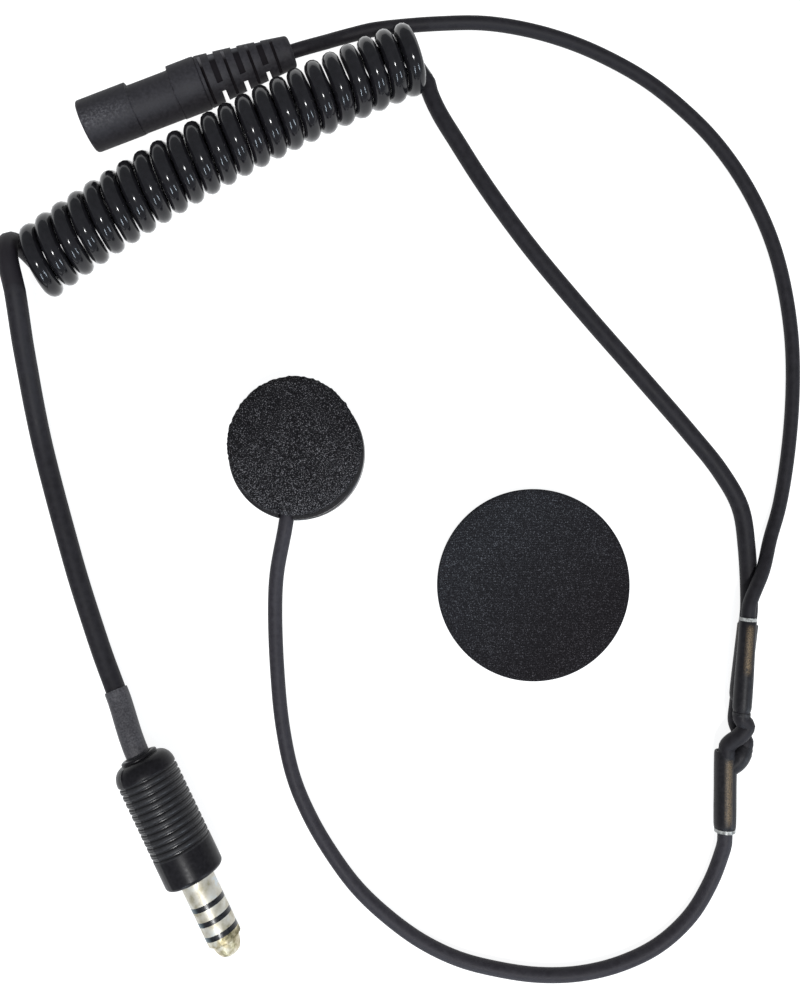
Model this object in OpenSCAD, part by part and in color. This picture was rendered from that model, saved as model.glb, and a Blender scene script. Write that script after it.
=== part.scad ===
// Helmet headset cord set: a foam-faced earphone, a coiled lead with a four-pole plug, a shrink-sleeved
// splice, an in-line socket for the microphone boom, and a loose round fixing disc, all lying on a table.
// Millimetres. +Z is up, Z = 0 is the table, and the origin is the middle of the earphone's back.

/* [Earphone] */
// Outer diameter of the moulded cup
cup_d = 28.1; // [27:0.1:30]
// Height of the cup above its hook disc
cup_h = 6.6; // [6.4:0.1:8]
// Thickness of the cup's floor
cup_floor = 1.2; // [1:0.1:1.4]
// Thickness of the cup's wall beside the grille
cup_wall = 1.0; // [0.8:0.1:1.2]
// Width of the ledge that the grille sits on
ledge_w = 0.6; // [0.4:0.1:0.8]
// Thickness of the perforated grille
grille_t = 0.8; // [0.5:0.1:0.9]
// Diameter of each sound hole in the grille
grille_hole_d = 1.5; // [1:0.1:1.8]
// Distance from one ring of sound holes to the next
grille_ring_step = 3.5; // [2.9:0.1:4]
// Diameter of the foam pad
foam_d = 27.9; // [26:0.1:30]
// Thickness of the foam pad in its middle
foam_t = 2.3; // [1.5:0.1:4]
// Amount by which the pad is thinner at its drawn-in edge
foam_crown = 0.6; // [0.3:0.1:0.9]
// Place of the hand-glued pad's middle over the cup
foam_shift = [-0.4, 1.2];
// Diameter of the hook fastener on the back
hook_d = 23.5; // [20:0.5:25]
// Thickness of the hook fastener on the back
hook_t = 0.8; // [0.6:0.1:1.2]

/* [Earphone driver] */
// Outer diameter of the steel yoke
yoke_d = 11.4; // [10.8:0.1:12]
// Height of the steel yoke
yoke_h = 2.4; // [2.2:0.1:2.5]
// Wall and floor of the steel yoke
yoke_wall = 0.7; // [0.5:0.1:0.9]
// Thickness of the pole plate on the magnet
pole_t = 0.7; // [0.5:0.1:0.9]
// Width of the air gap round the pole plate
air_gap = 0.9; // [0.8:0.05:1]
// Wall of the voice coil
voice_coil_wall = 0.25; // [0.2:0.05:0.3]
// Width of the free ring between the driver and the cup's wall
driver_gap = 2.45; // [2.2:0.05:2.8]
// Thickness of the diaphragm
diaphragm_t = 0.25; // [0.2:0.05:0.4]
// Height of the dome and of the ridge of the diaphragm
dome_h = 0.7; // [0.4:0.1:0.7]
// Way that the diaphragm moves up or down from rest
diaphragm_travel = 0.3; // [0.2:0.05:0.3]
// Radial thickness of the ring that holds the diaphragm's edge
basket_w = 1.3; // [1:0.1:1.4]
// Thickness of the terminal board
board_t = 0.6; // [0.4:0.1:0.8]

/* [Loose disc] */
// Diameter of the loose fixing disc
disc_d = 40.9; // [36:0.1:44]
// Thickness of its adhesive film
disc_adhesive_t = 0.3; // [0.2:0.05:0.5]
// Thickness of its foam core
disc_foam_t = 1.4; // [1:0.1:3]
// Thickness of its knitted loop face
disc_fabric_t = 0.7; // [0.5:0.1:1.2]
// Place of its middle on the table
disc_place = [49.8, -27.9];

/* [Plug] */
// Diameter of the moulded handle
handle_d = 12.5; // [11.8:0.1:13.2]
// Length of the moulded handle
handle_l = 27.8; // [26:0.1:30]
// Length of the rounded shoulder at the handle's rear
shoulder_l = 3.2; // [2.5:0.1:3.4]
// Diameter of the raised ring round the cord entry
entry_ring_d = 7.6; // [6.6:0.1:8.2]
// Number of grip grooves
grip_grooves = 12; // [6:1:12]
// Distance from one grip groove to the next
grip_pitch = 1.45; // [1.3:0.01:1.5]
// Depth of each grip groove
grip_depth = 0.3; // [0.2:0.05:0.4]
// Radius of the handle's front edge
handle_front_r = 1.0; // [0.6:0.1:1.4]
// Diameter of the four-pole barrel
barrel_d = 7.14; // [6.9:0.01:7.3]
// Diameter of the insulating core inside the barrel
barrel_core_d = 4.4; // [4:0.1:5]
// Exposed length of the sleeve contact
sleeve_l = 5.2; // [4:0.1:6]
// Length of the sleeve contact buried in the handle
sleeve_buried = 7; // [6:0.5:9]
// Length of each insulating ring
insulator_l = 1.1; // [0.8:0.1:1.5]
// Length of each ring contact
ring_contact_l = 2.15; // [1.8:0.05:2.6]
// Length of the silver band behind the tip
tip_band_l = 1.3; // [1:0.1:1.6]
// Length of the tapered nose of the tip
nose_l = 3.5; // [3:0.1:4]
// Diameter of the nose at its blunt end
nose_d = 3.6; // [3.2:0.1:4.4]
// Exposed length of the shrink boot behind the handle
boot_l = 14.1; // [12:0.1:15]
// Depth that the shrink boot enters the handle
boot_entry = 3; // [2:0.1:5]
// Wall of the shrink boot over the cord
boot_wall = 0.35; // [0.3:0.05:0.5]
// Height by which the shrink boot sags to its rear end
boot_droop = 3.3; // [3:0.1:3.6]
// Place of the handle's rear face on the table
plug_place = [-32.9, -62.7];
// Direction that the plug points to, in degrees from +X
plug_turn = -64.6; // [-75:0.1:-55]

/* [Coiled cord] */
// Number of turns between the two tangent ends
coil_turns = 23.5; // [20.5:1:24.5]
// Distance from one turn to the next along the coil
coil_pitch = 3.92; // [3.84:0.01:4.1]
// Outer diameter of the coil
coil_outer_d = 14.4; // [13:0.1:16]
// Diameter of the cord inside the coil
coil_cord_d = 3.2; // [2.7:0.05:3.25]
// Length by which the last turn at the plug's end has opened
coil_opening = 1.4; // [0.8:0.1:3]
// How far the first crest stands out from the other crests
coil_flare = 1.2; // [0.6:0.1:1.6]
// Radius of the wide arc that the coil lies in
coil_bend_r = 339; // [280:1:560]
// Direction of the coil at the plug's end, in degrees from +X
coil_turn = 36.7; // [30:0.1:42]
// Lean of the turns about the vertical at the plug's end, in degrees
coil_lean_start = 8.7; // [0:0.1:20]
// Lean of the turns about the vertical at the splice's end, in degrees
coil_lean_end = -6.7; // [-12:0.1:4]

/* [Leads] */
// Diameter of the lead from the coil to the plug
plug_lead_d = 4.15; // [3.7:0.05:4.3]
// Diameter of the lead from the coil to the splice
splice_lead_d = 3.6; // [3.1:0.1:3.7]
// Diameter of the lead from the splice to the in-line socket
socket_lead_d = 2.85; // [2.6:0.05:2.95]
// Diameter of the lead from the splice to the earphone
earphone_lead_d = 2.95; // [2.7:0.05:3.1]

/* [Splice] */
// Length of the upper shrink sleeve
upper_sleeve_l = 19.1; // [18:0.1:20.5]
// Wall of the shrink sleeves over the leads
shrink_wall = 0.3; // [0.2:0.05:0.4]
// Diameter of the lower shrink sleeve
lower_sleeve_d = 4.65; // [4.3:0.05:5]
// Length of the lower shrink sleeve
lower_sleeve_l = 16.4; // [15:0.1:18]
// Diameter of each lead of the twisted pair
twist_d = 3.0; // [2.7:0.05:3.1]
// Length of each ring of set glue
glue_l = 0.7; // [0.4:0.1:1]

/* [In-line socket] */
// Diameter of the moulded socket
socket_d = 10.65; // [10.4:0.05:11]
// Length of the front band
front_band_l = 10.9; // [10:0.1:12]
// Length of the one-sided recess in the middle
recess_l = 9.1; // [7:0.1:10]
// Depth of the recess on its deep side
recess_depth = 0.7; // [0.5:0.05:0.8]
// Length of the rear band
rear_band_l = 6.0; // [5:0.1:8]
// Diameter of the bore for the microphone plug
mic_bore_d = 5.3; // [5.2:0.02:5.4]
// Length of the metal bush behind the mouth
bush_l = 7.6; // [6.5:0.1:8.5]
// Wall of the metal bush
bush_wall = 0.8; // [0.6:0.1:0.9]
// Diameter of the contact chamber behind the bush
chamber_d = 7.8; // [7.7:0.1:8]
// Length of the contact chamber
chamber_l = 12; // [11:0.1:12.5]
// Length of the insulating block at the chamber's end
block_l = 4; // [3.6:0.1:4.4]
// Thickness of each contact spring
spring_t = 0.3; // [0.25:0.05:0.35]
// Width of each contact spring
spring_w = 1.8; // [1.5:0.1:1.9]
// Length of the tip contact spring
tip_spring_l = 5; // [4.6:0.1:5.4]
// Length of the ring contact spring
ring_spring_l = 6.8; // [6.4:0.1:7.2]
// Diameter of the slotted relief where it meets the socket
relief_root_d = 10.4; // [9.8:0.1:10.6]
// Diameter of the slotted relief at its free end
relief_end_d = 6.5; // [6.2:0.05:7.4]
// Number of slots in the relief, thin and wide in turn
relief_slots = 7; // [5:1:7]
// Distance from the middle of one slot to the middle of the next
slot_pitch = 2.5; // [2.2:0.05:2.7]
// Length of each thin slot
thin_slot_l = 0.5; // [0.4:0.05:0.7]
// Length of each wide slot
wide_slot_l = 1.15; // [0.9:0.05:1.3]
// Length of the collar at the relief's free end
relief_collar_l = 3.45; // [2.5:0.05:4]
// Width of the webs that join the relief's rings
web_w = 2.3; // [2:0.1:2.8]
// Diameter of the core of the relief, which the slots leave whole
relief_core_d = 5.2; // [4.6:0.1:5.8]
// Place of the socket's mouth on the table
socket_place = [-43.9, 67.9];
// Direction from the mouth to the relief, in degrees from +X
socket_turn = 21; // [16:0.1:26]

/* [Fits] */
// Clearance of a piece that is pushed or glued into its seat
fit = 0.05; // [0.02:0.01:0.1]
// Clearance of a piece that moves past another
run_gap = 0.3; // [0.25:0.01:0.35]

/* [Hidden] */
$fn = 64;

// Earphone: heights from the table
cup_top = hook_t + cup_h;
floor_top = hook_t + cup_floor;
grille_z = cup_top - grille_t;
grille_seat_d = cup_d - 2 * cup_wall;
cavity_d = grille_seat_d - 2 * ledge_w;
cup_edge_r = 1;
cup_lip_r = 0.35;
// The cord enters through a notch in the wall, towards the table's near side
notch_turn = -99;
notch_depth = 0.35;
earphone_lead_z = cup_top - notch_depth - earphone_lead_d / 2;
notch_w = earphone_lead_d + 4 * fit;
notch_z = earphone_lead_z - notch_w / 2;
lead_stop = grille_seat_d / 2 + fit;
// Driver: the magnet fills what the yoke and the pole plate leave
magnet_h = yoke_h - yoke_wall - pole_t;
yoke_inner_d = yoke_d - 2 * yoke_wall;
pole_d = yoke_inner_d - 2 * air_gap;
pole_overhang = 0.2;
magnet_d = pole_d - 2 * pole_overhang;
voice_coil_d = (yoke_inner_d + pole_d) / 2 + voice_coil_wall;
diaphragm_z = floor_top + yoke_h + diaphragm_travel + run_gap;
voice_coil_z = floor_top + yoke_wall + diaphragm_travel + run_gap;
basket_d = cavity_d - 2 * driver_gap;
basket_inner_d = basket_d - 2 * basket_w;
diaphragm_d = basket_inner_d - 2 * run_gap;
basket_h = diaphragm_z - floor_top + diaphragm_t;
grommet_gap = 0.2;
grommet_foot_gap = 0.6;
foam_edge = 0.5;

// Plug: places along its axis, from the rear face of the handle
handle_r = handle_d / 2;
barrel_r = barrel_d / 2;
barrel_core_r = barrel_core_d / 2;
entry_ring_h = 0.8;
entry_ring_edge = 0.3;
grip_start = 4.3;
grip_edge = 0.15;
grip_land = 0.85;
rear_insulator_x = handle_l + sleeve_l;
rear_ring_x = rear_insulator_x + insulator_l;
middle_insulator_x = rear_ring_x + ring_contact_l;
front_ring_x = middle_insulator_x + insulator_l;
front_insulator_x = front_ring_x + ring_contact_l;
tip_x = front_insulator_x + insulator_l;
stem_r = barrel_r - 0.6;
boot_d = plug_lead_d + 2 * boot_wall;
// The boot sags and swings aside as it leaves the handle, in steps along its exposed length
boot_swing = 0.4;
boot_steps = [0, 0.1, 0.3, 0.5, 0.7, 0.85, 1];
boot_side = [-sin(plug_turn), cos(plug_turn)];

// Coil: the cord's centre line runs on a cylinder of this radius, bent to the wide arc
coil_r = (coil_outer_d - coil_cord_d) / 2;
coil_place = [-54.4, 37.9];
coil_first = -0.25;
coil_last = coil_first + coil_turns;
coil_open_from = coil_first + 1;
rings_per_turn = 8;
coil_sides = 6;

// Splice: the socket's lead rides on the coil's lead inside the upper sleeve
upper_sleeve_place = [94.0, -35.0];
upper_sleeve_turn = -94;
upper_sleeve_end = reach(upper_sleeve_place, upper_sleeve_turn, upper_sleeve_l);
lobe_gap = 0.1;
low_lobe_r = splice_lead_d / 2 + shrink_wall;
low_lobe_side = 1.3;
low_lobe_turn = -96.8;
low_lobe_start = 1;
low_lobe_l = upper_sleeve_l - 4.1;
low_lobe_place = reach(upper_sleeve_place, upper_sleeve_turn, low_lobe_start)
    + low_lobe_side * [-sin(upper_sleeve_turn), cos(upper_sleeve_turn)];
web_t = 2;
top_lobe_r = socket_lead_d / 2 + shrink_wall;
top_lobe_z = splice_lead_d + shrink_wall + lobe_gap + socket_lead_d / 2;
top_lobe_flare = 0.2;
top_lobe_taper_l = 1.1;
top_lobe_end_r = twist_d / 2 + 2 * fit;
lower_sleeve_place = [90.4, -62.9];
lower_sleeve_turn = -90.5;
lower_sleeve_r = lower_sleeve_d / 2;
branch_mouth_r = twist_d / 2 + shrink_wall;
branch_r = lower_sleeve_r - 0.35;
branch_turn = -98;
lower_sleeve_end = reach(lower_sleeve_place, lower_sleeve_turn, lower_sleeve_l);

// In-line socket: places along its axis, from the mouth
socket_r = socket_d / 2;
mic_bore_r = mic_bore_d / 2;
bush_d = mic_bore_d + 2 * bush_wall;
recess_x = front_band_l;
rear_band_x = recess_x + recess_l;
relief_x = rear_band_x + rear_band_l;
relief_first_slot = 1;
relief_l = relief_first_slot + (relief_slots - 1) * slot_pitch + thin_slot_l / 2 + relief_collar_l;
relief_end_r = 0.8;
wide_slot_lean = 25;
relief_bore_d = socket_lead_d + 4 * fit;
chamber_end = bush_l + chamber_l;
block_x = chamber_end - block_l;
// The springs' crests reach into the plug's way by this much, and the plug lifts them out of it
crest_reach = 0.3;
spring_way = 0.4;
spring_r = chamber_d / 2 - run_gap - spring_t - spring_way;
spring_root_l = 2.2;
crest_l = 1.6;
crest_dip = spring_r - mic_bore_r + crest_reach;

// Routes of the free leads. Each point is a place on the table and the lift of the lead above it.
plug_lead_points = [
    [-55.2, 28.1, 10.1], [-55.3, 22.6, 7.7], [-55.5, 16.3, 4.6], [-55.3, 9.8, 2], [-54.4, 2.6, 0.4],
    [-52.4, -6.1, 0], [-49.8, -15.8, 0], [-46.9, -26, 0.1], [-44.2, -34.6, 0.1], [-41.4, -42.8, 0.3]
];
splice_lead_points = [
    [29.7, 72.4, 0], [33.3, 66.7, 0], [38.1, 59.1, 0], [43.5, 51.3, 0], [50.4, 42.2, 0],
    [61.6, 28.9, 0], [72.4, 16.6, 0], [82.8, 4.6, 0], [89.4, -3.6, 0], [93.7, -11.3, 0],
    [95.1, -20.1, 0]
];
socket_lead_points = [
    [7.9, 88.1, 0.7], [11.7, 89.3, 0.1], [20.4, 90.9, 0], [29.6, 91.6, 0], [39.3, 91.7, 0],
    [49, 90.2, 0], [58.4, 87.4, 0], [66.7, 83.7, 0], [74.4, 79.2, 0], [81.3, 73.7, 0], [87.6, 67.5, 0],
    [92.9, 60.6, 0], [97.3, 53, 0], [100.8, 44.7, 0], [103.2, 35.7, 0], [104.8, 24.5, 0],
    [105, 12.8, 0], [104, 0.1, 0], [102.2, -11, 0], [99.9, -18.2, 0.7], [97.5, -24.5, 3]
];
earphone_lead_points = [
    [89.7, -85.2, 0.2], [87.5, -91.1, 0], [83.2, -98.2, 0], [76.5, -104.4, 0], [68.4, -108.4, 0],
    [59.7, -110.5, 0], [51, -110.8, 0], [42.3, -109.6, 0], [33.9, -107.4, 0], [26, -103.6, 0],
    [18.7, -98.3, 0], [12.3, -92.2, 0], [6.8, -84.8, 0], [2.3, -77.1, 0], [-1.2, -68.7, 0],
    [-3.5, -58, 0], [-4.7, -45.4, 0], [-5.1, -32.8, 0.1], [-4.6, -25.5, 1.2]
];
twist_a_points = [[93.8, -56.9, 3.5], [92.7, -58.8, 3.3], [91, -60.7, 2.1]];
twist_b_points = [[92.9, -56.9, 0], [93.9, -59.5, 0.1]];
branch_points = [[94.45, -61.9], [92.9, -64.6], [91, -67.5]];

// Geometry of tubes -------------------------------------------------------------------------------

function unit(v) = v / norm(v);

// The place at a distance from a point on the table, in a direction in degrees
function reach(place, turn, distance) = place + distance * [cos(turn), sin(turn)];

function at_height(place, z) = [place.x, place.y, z];

function lay(points, r) = [for (p = points) [p.x, p.y, p.z + r]];

function circle_at(centre, u, v, r, sides) =
    [for (k = [0 : sides - 1]) centre + r * (cos(360 * k / sides) * u + sin(360 * k / sides) * v)];

function route_direction(route, i) =
    unit(route[min(i + 1, len(route) - 1)] - route[max(i - 1, 0)]);

// One ring of points round the route's point i, square to the route
function route_ring(route, i, r, sides) =
    let (t = route_direction(route, i), side = unit(cross(t, [0, 0, 1])), up = cross(side, t))
    circle_at(route[i], side, up, r, sides);

// A closed skin of triangles over rings that all have the same number of points
module skin(rings) {
    n = len(rings[0]);
    last = (len(rings) - 1) * n;
    points = [for (ring = rings) for (p = ring) p];
    walls = [for (i = [0 : len(rings) - 2]) for (k = [0 : n - 1])
        let (a = i * n + k, b = i * n + (k + 1) % n)
        each [[a, b, b + n], [a, b + n, a + n]]];
    near_cap = [for (k = [1 : n - 2]) [0, k + 1, k]];
    far_cap = [for (k = [1 : n - 2]) [last, last + k, last + k + 1]];
    polyhedron(points = points, faces = concat(walls, near_cap, far_cap));
}

module lead(route, d, sides) {
    skin([for (i = [0 : len(route) - 1]) route_ring(route, i, d / 2, sides)]);
}

// Coil: a left-handed helix whose axis is a wide arc on the table -----------------------------------

function coil_shift(u) = coil_pitch * u - coil_opening * pow(max(0, coil_open_from - u), 3);

function coil_direction(s) = coil_turn - s / coil_bend_r * 180 / PI;

function coil_axis(s) = coil_place
    + coil_bend_r * [sin(coil_turn) - sin(coil_direction(s)), cos(coil_direction(s)) - cos(coil_turn)];

// Lean of the turns at a distance s along the coil
function coil_lean(s) = coil_lean_start + (coil_lean_end - coil_lean_start) * s / (coil_turns * coil_pitch);

// The unit vector from the coil's axis to the cord, u turns from the first crest
function coil_outward(u) =
    let (s = coil_shift(u), h = coil_direction(s) - coil_lean(s), a = -360 * u)
    [-cos(a) * sin(h), cos(a) * cos(h), sin(a)];

// Distance from the coil's axis to the cord: the first half turn stands out at its crest
function coil_reach(u) = coil_r + (u < coil_first + 0.5 ? coil_flare * pow(cos(360 * u), 2) : 0);

function coil_point(u) =
    at_height(coil_axis(coil_shift(u)), coil_outer_d / 2) + coil_reach(u) * coil_outward(u);

function coil_tangent(u) = unit(coil_point(u + 0.001) - coil_point(u - 0.001));

function coil_ring_at(centre, u) =
    let (t = coil_tangent(u), w = coil_outward(u), out = unit(w - (w * t) * t))
    circle_at(centre, out, cross(out, t), coil_cord_d / 2, coil_sides);

coil_steps = [for (i = [0 : coil_turns * rings_per_turn]) coil_first + i / rings_per_turn];
coil_near_end = coil_point(coil_first) - coil_cord_d * coil_tangent(coil_first);
coil_far_end = coil_point(coil_last) + coil_cord_d * coil_tangent(coil_last);
coil_line = concat([coil_near_end], [for (u = coil_steps) coil_point(u)], [coil_far_end]);

// Least distance between the surfaces of two turns, over every pair of points half a turn or more apart
coil_gap = min([for (i = [0 : len(coil_line) - 1])
    for (j = [i + rings_per_turn / 2 : 1 : len(coil_line) - 1])
        norm(coil_line[i] - coil_line[j])]) - coil_cord_d;
echo(str("least gap of the coil to itself: ", coil_gap, " mm"));

// Full routes: the hand-laid points between ends worked out from what each lead meets ---------------

// Each lead runs straight for this long before what it meets
straight = 3;
boot_route = concat(
    [at_height(reach(plug_place, plug_turn, boot_entry), handle_r)],
    [for (f = boot_steps)
        at_height(reach(plug_place, plug_turn, -f * boot_l) + boot_swing * f * f * boot_side,
            handle_r - boot_droop * f * f * (3 - 2 * f))]);
boot_end = boot_route[len(boot_route) - 1];
boot_heading = unit(boot_end - boot_route[len(boot_route) - 2]);
plug_lead_route = concat(
    [coil_near_end, coil_near_end - straight * coil_tangent(coil_first)],
    lay(plug_lead_points, plug_lead_d / 2),
    [boot_end + straight * boot_heading, boot_end]);

splice_lead_lift = [0, 0, max(0, splice_lead_d / 2 - coil_far_end.z)];
splice_lead_route = concat(
    [for (l = [0, straight]) coil_far_end + splice_lead_lift + l * coil_tangent(coil_last)],
    lay(splice_lead_points, splice_lead_d / 2),
    [for (l = [-straight, 0]) at_height(reach(low_lobe_place, low_lobe_turn, l), splice_lead_d / 2)]);

socket_lead_route = concat(
    [for (l = [0, relief_l, relief_l + straight])
        at_height(reach(socket_place, socket_turn, relief_x + l), socket_r)],
    lay(socket_lead_points, socket_lead_d / 2),
    [for (l = [-straight, 0]) at_height(reach(upper_sleeve_place, upper_sleeve_turn, l), top_lobe_z)]);

earphone_lead_route = concat(
    [for (l = [0, straight]) at_height(reach(lower_sleeve_end, lower_sleeve_turn, l), lower_sleeve_r)],
    lay(earphone_lead_points, earphone_lead_d / 2),
    [for (l = [lead_stop + straight, lead_stop]) at_height(reach([0, 0], notch_turn, l), earphone_lead_z)]);

twist_a_route = concat(
    [for (l = [0, glue_l + 0.6]) at_height(reach(upper_sleeve_end, upper_sleeve_turn, l), top_lobe_z)],
    lay(twist_a_points, twist_d / 2),
    [for (l = [-1, 0])
        at_height(reach(lower_sleeve_place, lower_sleeve_turn, l), lower_sleeve_d - twist_d / 2)]);
twist_b_route = concat(
    [at_height(reach(low_lobe_place, low_lobe_turn, low_lobe_l + low_lobe_r + 0.4), twist_d / 2)],
    lay(twist_b_points, twist_d / 2),
    [for (l = [-1, 0]) at_height(reach(branch_points[0], branch_turn, l), lower_sleeve_r)]);

// Earphone ----------------------------------------------------------------------------------------

module hook_disc() {
    color("dimgray") cylinder(d = hook_d, h = hook_t);
}

// Outline of the cup, turned round its axis: a rounded foot and a finely rounded lip
module cup_profile() {
    r = cup_d / 2;
    polygon(concat(
        [[0, hook_t]],
        [for (a = [-90 : 15 : 0])
            [r - cup_edge_r + cup_edge_r * cos(a), hook_t + cup_edge_r + cup_edge_r * sin(a)]],
        [for (a = [0 : 22.5 : 90])
            [r - cup_lip_r + cup_lip_r * cos(a), cup_top - cup_lip_r + cup_lip_r * sin(a)]],
        [[0, cup_top]]));
}

// The notch through the cup's wall that the cord lies in, open at the top
module lead_notch() {
    rotate([0, 0, notch_turn])
        translate([cavity_d / 2 - 1, -notch_w / 2, notch_z])
            cube([cup_d, notch_w, cup_top]);
}

module capsule_cup() {
    color("black") difference() {
        rotate_extrude() cup_profile();
        translate([0, 0, floor_top]) cylinder(d = cavity_d, h = cup_h);
        translate([0, 0, grille_z]) cylinder(d = grille_seat_d, h = cup_h);
        lead_notch();
    }
}

// A perforated disc: one hole in the middle, then rings of 6 and 12
module capsule_grille() {
    color("black") translate([0, 0, grille_z]) difference() {
        cylinder(d = grille_seat_d - 2 * fit, h = grille_t);
        for (ring = [0 : 2]) {
            holes = max(1, 6 * ring);
            for (k = [0 : holes - 1])
                rotate([0, 0, 360 * k / holes])
                    translate([ring * grille_ring_step, 0, -1])
                        cylinder(d = grille_hole_d, h = grille_t + 2, $fn = 24);
        }
    }
}

// Half section of the foam pad: a flat back, a drawn-in edge and a crowned face
module foam_profile() {
    r = foam_d / 2;
    edge_t = foam_t - foam_crown;
    polygon(concat(
        [[0, 0]],
        [for (a = [-90 : 30 : 90]) [r - foam_edge + foam_edge * cos(a), edge_t / 2 * (1 + sin(a))]],
        [for (s = [0.93, 0.82, 0.66, 0.45, 0])
            [(r - foam_edge) * s, edge_t + foam_crown * (1 - pow(s, 4))]]));
}

module foam_pad() {
    color("#1d1d1f") translate([foam_shift.x, foam_shift.y, cup_top])
        rotate_extrude() foam_profile();
}

// The rubber block that stops the cord: a foot inside the cup and a neck in the notch
module cable_grommet() {
    inner = basket_d / 2 + grommet_gap;
    color("#2a2a2a") rotate([0, 0, notch_turn]) {
        translate([inner, -notch_w / 2 + fit, floor_top])
            cube([cavity_d / 2 - grommet_foot_gap - inner, notch_w - 2 * fit, grille_z - floor_top]);
        translate([inner, -notch_w / 2 + fit, notch_z])
            cube([lead_stop - inner, notch_w - 2 * fit, grille_z - notch_z]);
    }
}

module basket_ring() {
    color("#303030") translate([0, 0, floor_top]) difference() {
        cylinder(d = basket_d, h = basket_h);
        translate([0, 0, -1]) cylinder(d = basket_inner_d, h = basket_h + 2);
    }
}

module magnet_yoke() {
    color("silver") translate([0, 0, floor_top]) difference() {
        cylinder(d = yoke_d, h = yoke_h);
        translate([0, 0, yoke_wall]) cylinder(d = yoke_inner_d, h = yoke_h);
    }
}

module magnet() {
    color("#5a5a60") translate([0, 0, floor_top + yoke_wall]) cylinder(d = magnet_d, h = magnet_h);
}

module pole_plate() {
    color("silver") translate([0, 0, floor_top + yoke_wall + magnet_h]) cylinder(d = pole_d, h = pole_t);
}

module terminal_board() {
    color("darkgreen") translate([0, 0, floor_top]) difference() {
        cylinder(d = basket_inner_d - 4 * fit, h = board_t);
        translate([0, 0, -1]) cylinder(d = yoke_d + 4 * fit, h = board_t + 2);
    }
}

module voice_coil() {
    color("#b06a35") translate([0, 0, voice_coil_z]) difference() {
        cylinder(d = voice_coil_d, h = diaphragm_z - voice_coil_z);
        translate([0, 0, -1]) cylinder(d = voice_coil_d - 2 * voice_coil_wall, h = yoke_h + cup_h);
    }
}

// Half section of the diaphragm: a dome inside the voice coil, a flat landing and a low ridge
module diaphragm() {
    dome_r = voice_coil_d / 2 - voice_coil_wall;
    ridge_w = (diaphragm_d - voice_coil_d) / 2;
    under = concat(
        [for (s = [0 : 0.25 : 1]) [dome_r * s, dome_h * (1 - s * s)]],
        [for (s = [0 : 0.2 : 1]) [voice_coil_d / 2 + ridge_w * s, dome_h / 2 * sin(180 * s)]]);
    over = [for (i = [len(under) - 1 : -1 : 0]) under[i] + [0, diaphragm_t]];
    color("#c9b47a") translate([0, 0, diaphragm_z]) rotate_extrude() polygon(concat(under, over));
}

// Loose disc --------------------------------------------------------------------------------------

module disc_layer(z, d, h) {
    translate([disc_place.x, disc_place.y, z]) cylinder(d = d, h = h, $fn = 96);
}

module disc_adhesive() {
    color("whitesmoke") disc_layer(0, disc_d - 0.4, disc_adhesive_t);
}

module disc_foam() {
    color("#242424") disc_layer(disc_adhesive_t, disc_d, disc_foam_t);
}

module disc_fabric() {
    color("#161618") disc_layer(disc_adhesive_t + disc_foam_t, disc_d, disc_fabric_t);
}

// Leads and splice ----------------------------------------------------------------------------------

module earphone_lead() {
    color("#2b2b2e") lead(earphone_lead_route, earphone_lead_d, 8);
}

module splice_lead() {
    color("#232326") lead(splice_lead_route, splice_lead_d, 8);
}

module socket_lead() {
    color("#2b2b2e") lead(socket_lead_route, socket_lead_d, 8);
}

module plug_lead() {
    color("#232326") lead(plug_lead_route, plug_lead_d, 10);
}

module twist_lead_a() {
    color("#232326") lead(twist_a_route, twist_d, 8);
}

module twist_lead_b() {
    color("#232326") lead(twist_b_route, twist_d, 8);
}

// Draws with its Z axis lying on the table, from a place and in a direction; its -X is up
module lying(place, turn, z) {
    translate([place.x, place.y, z]) rotate([0, 0, turn]) rotate([0, 90, 0]) children();
}

// Shrink sleeve over two leads: a lobe round each, with a web between them
module upper_sleeve() {
    color("#1b1b1d") lying(upper_sleeve_place, upper_sleeve_turn, 0) {
        body_l = upper_sleeve_l - top_lobe_taper_l;
        translate([-top_lobe_z, 0, 0])
            cylinder(r1 = top_lobe_r, r2 = top_lobe_r + top_lobe_flare, h = body_l);
        translate([-top_lobe_z, 0, body_l])
            cylinder(r1 = top_lobe_r + top_lobe_flare, r2 = top_lobe_end_r, h = top_lobe_taper_l);
        translate([-top_lobe_z, -web_t / 2, low_lobe_start])
            cube([top_lobe_z - low_lobe_r, web_t, low_lobe_l]);
    }
    color("#1b1b1d") lying(low_lobe_place, low_lobe_turn, low_lobe_r) {
        cylinder(r = low_lobe_r, h = low_lobe_l);
        translate([0, 0, low_lobe_l]) sphere(r = low_lobe_r);
    }
}

module glue_ring(inner_d, outer_d) {
    difference() {
        cylinder(d = outer_d, h = glue_l);
        translate([0, 0, -1]) cylinder(d = inner_d, h = glue_l + 2);
    }
}

// Set glue round the lead where it enters the upper sleeve
module upper_glue_ring() {
    place = reach(upper_sleeve_place, upper_sleeve_turn, -glue_l);
    color("#d8d8d0") lying(place, upper_sleeve_turn, top_lobe_z)
        glue_ring(socket_lead_d + 2 * fit, socket_lead_d + 2 * shrink_wall);
}

// Set glue round the twisted lead where it leaves the upper sleeve
module middle_glue_ring() {
    color("#8a8a88") lying(upper_sleeve_end, upper_sleeve_turn, top_lobe_z)
        glue_ring(twist_d + 2 * fit, twist_d + 2 * shrink_wall);
}

// Set glue round the thin lead where it leaves the lower sleeve
module lower_glue_ring() {
    color("#d8d8d0") lying(lower_sleeve_end, lower_sleeve_turn, lower_sleeve_r)
        glue_ring(earphone_lead_d + 2 * fit, lower_sleeve_d - shrink_wall);
}

module branch_bend(i) {
    translate(at_height(branch_points[i], lower_sleeve_r)) sphere(r = branch_r, $fn = 32);
}

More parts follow.
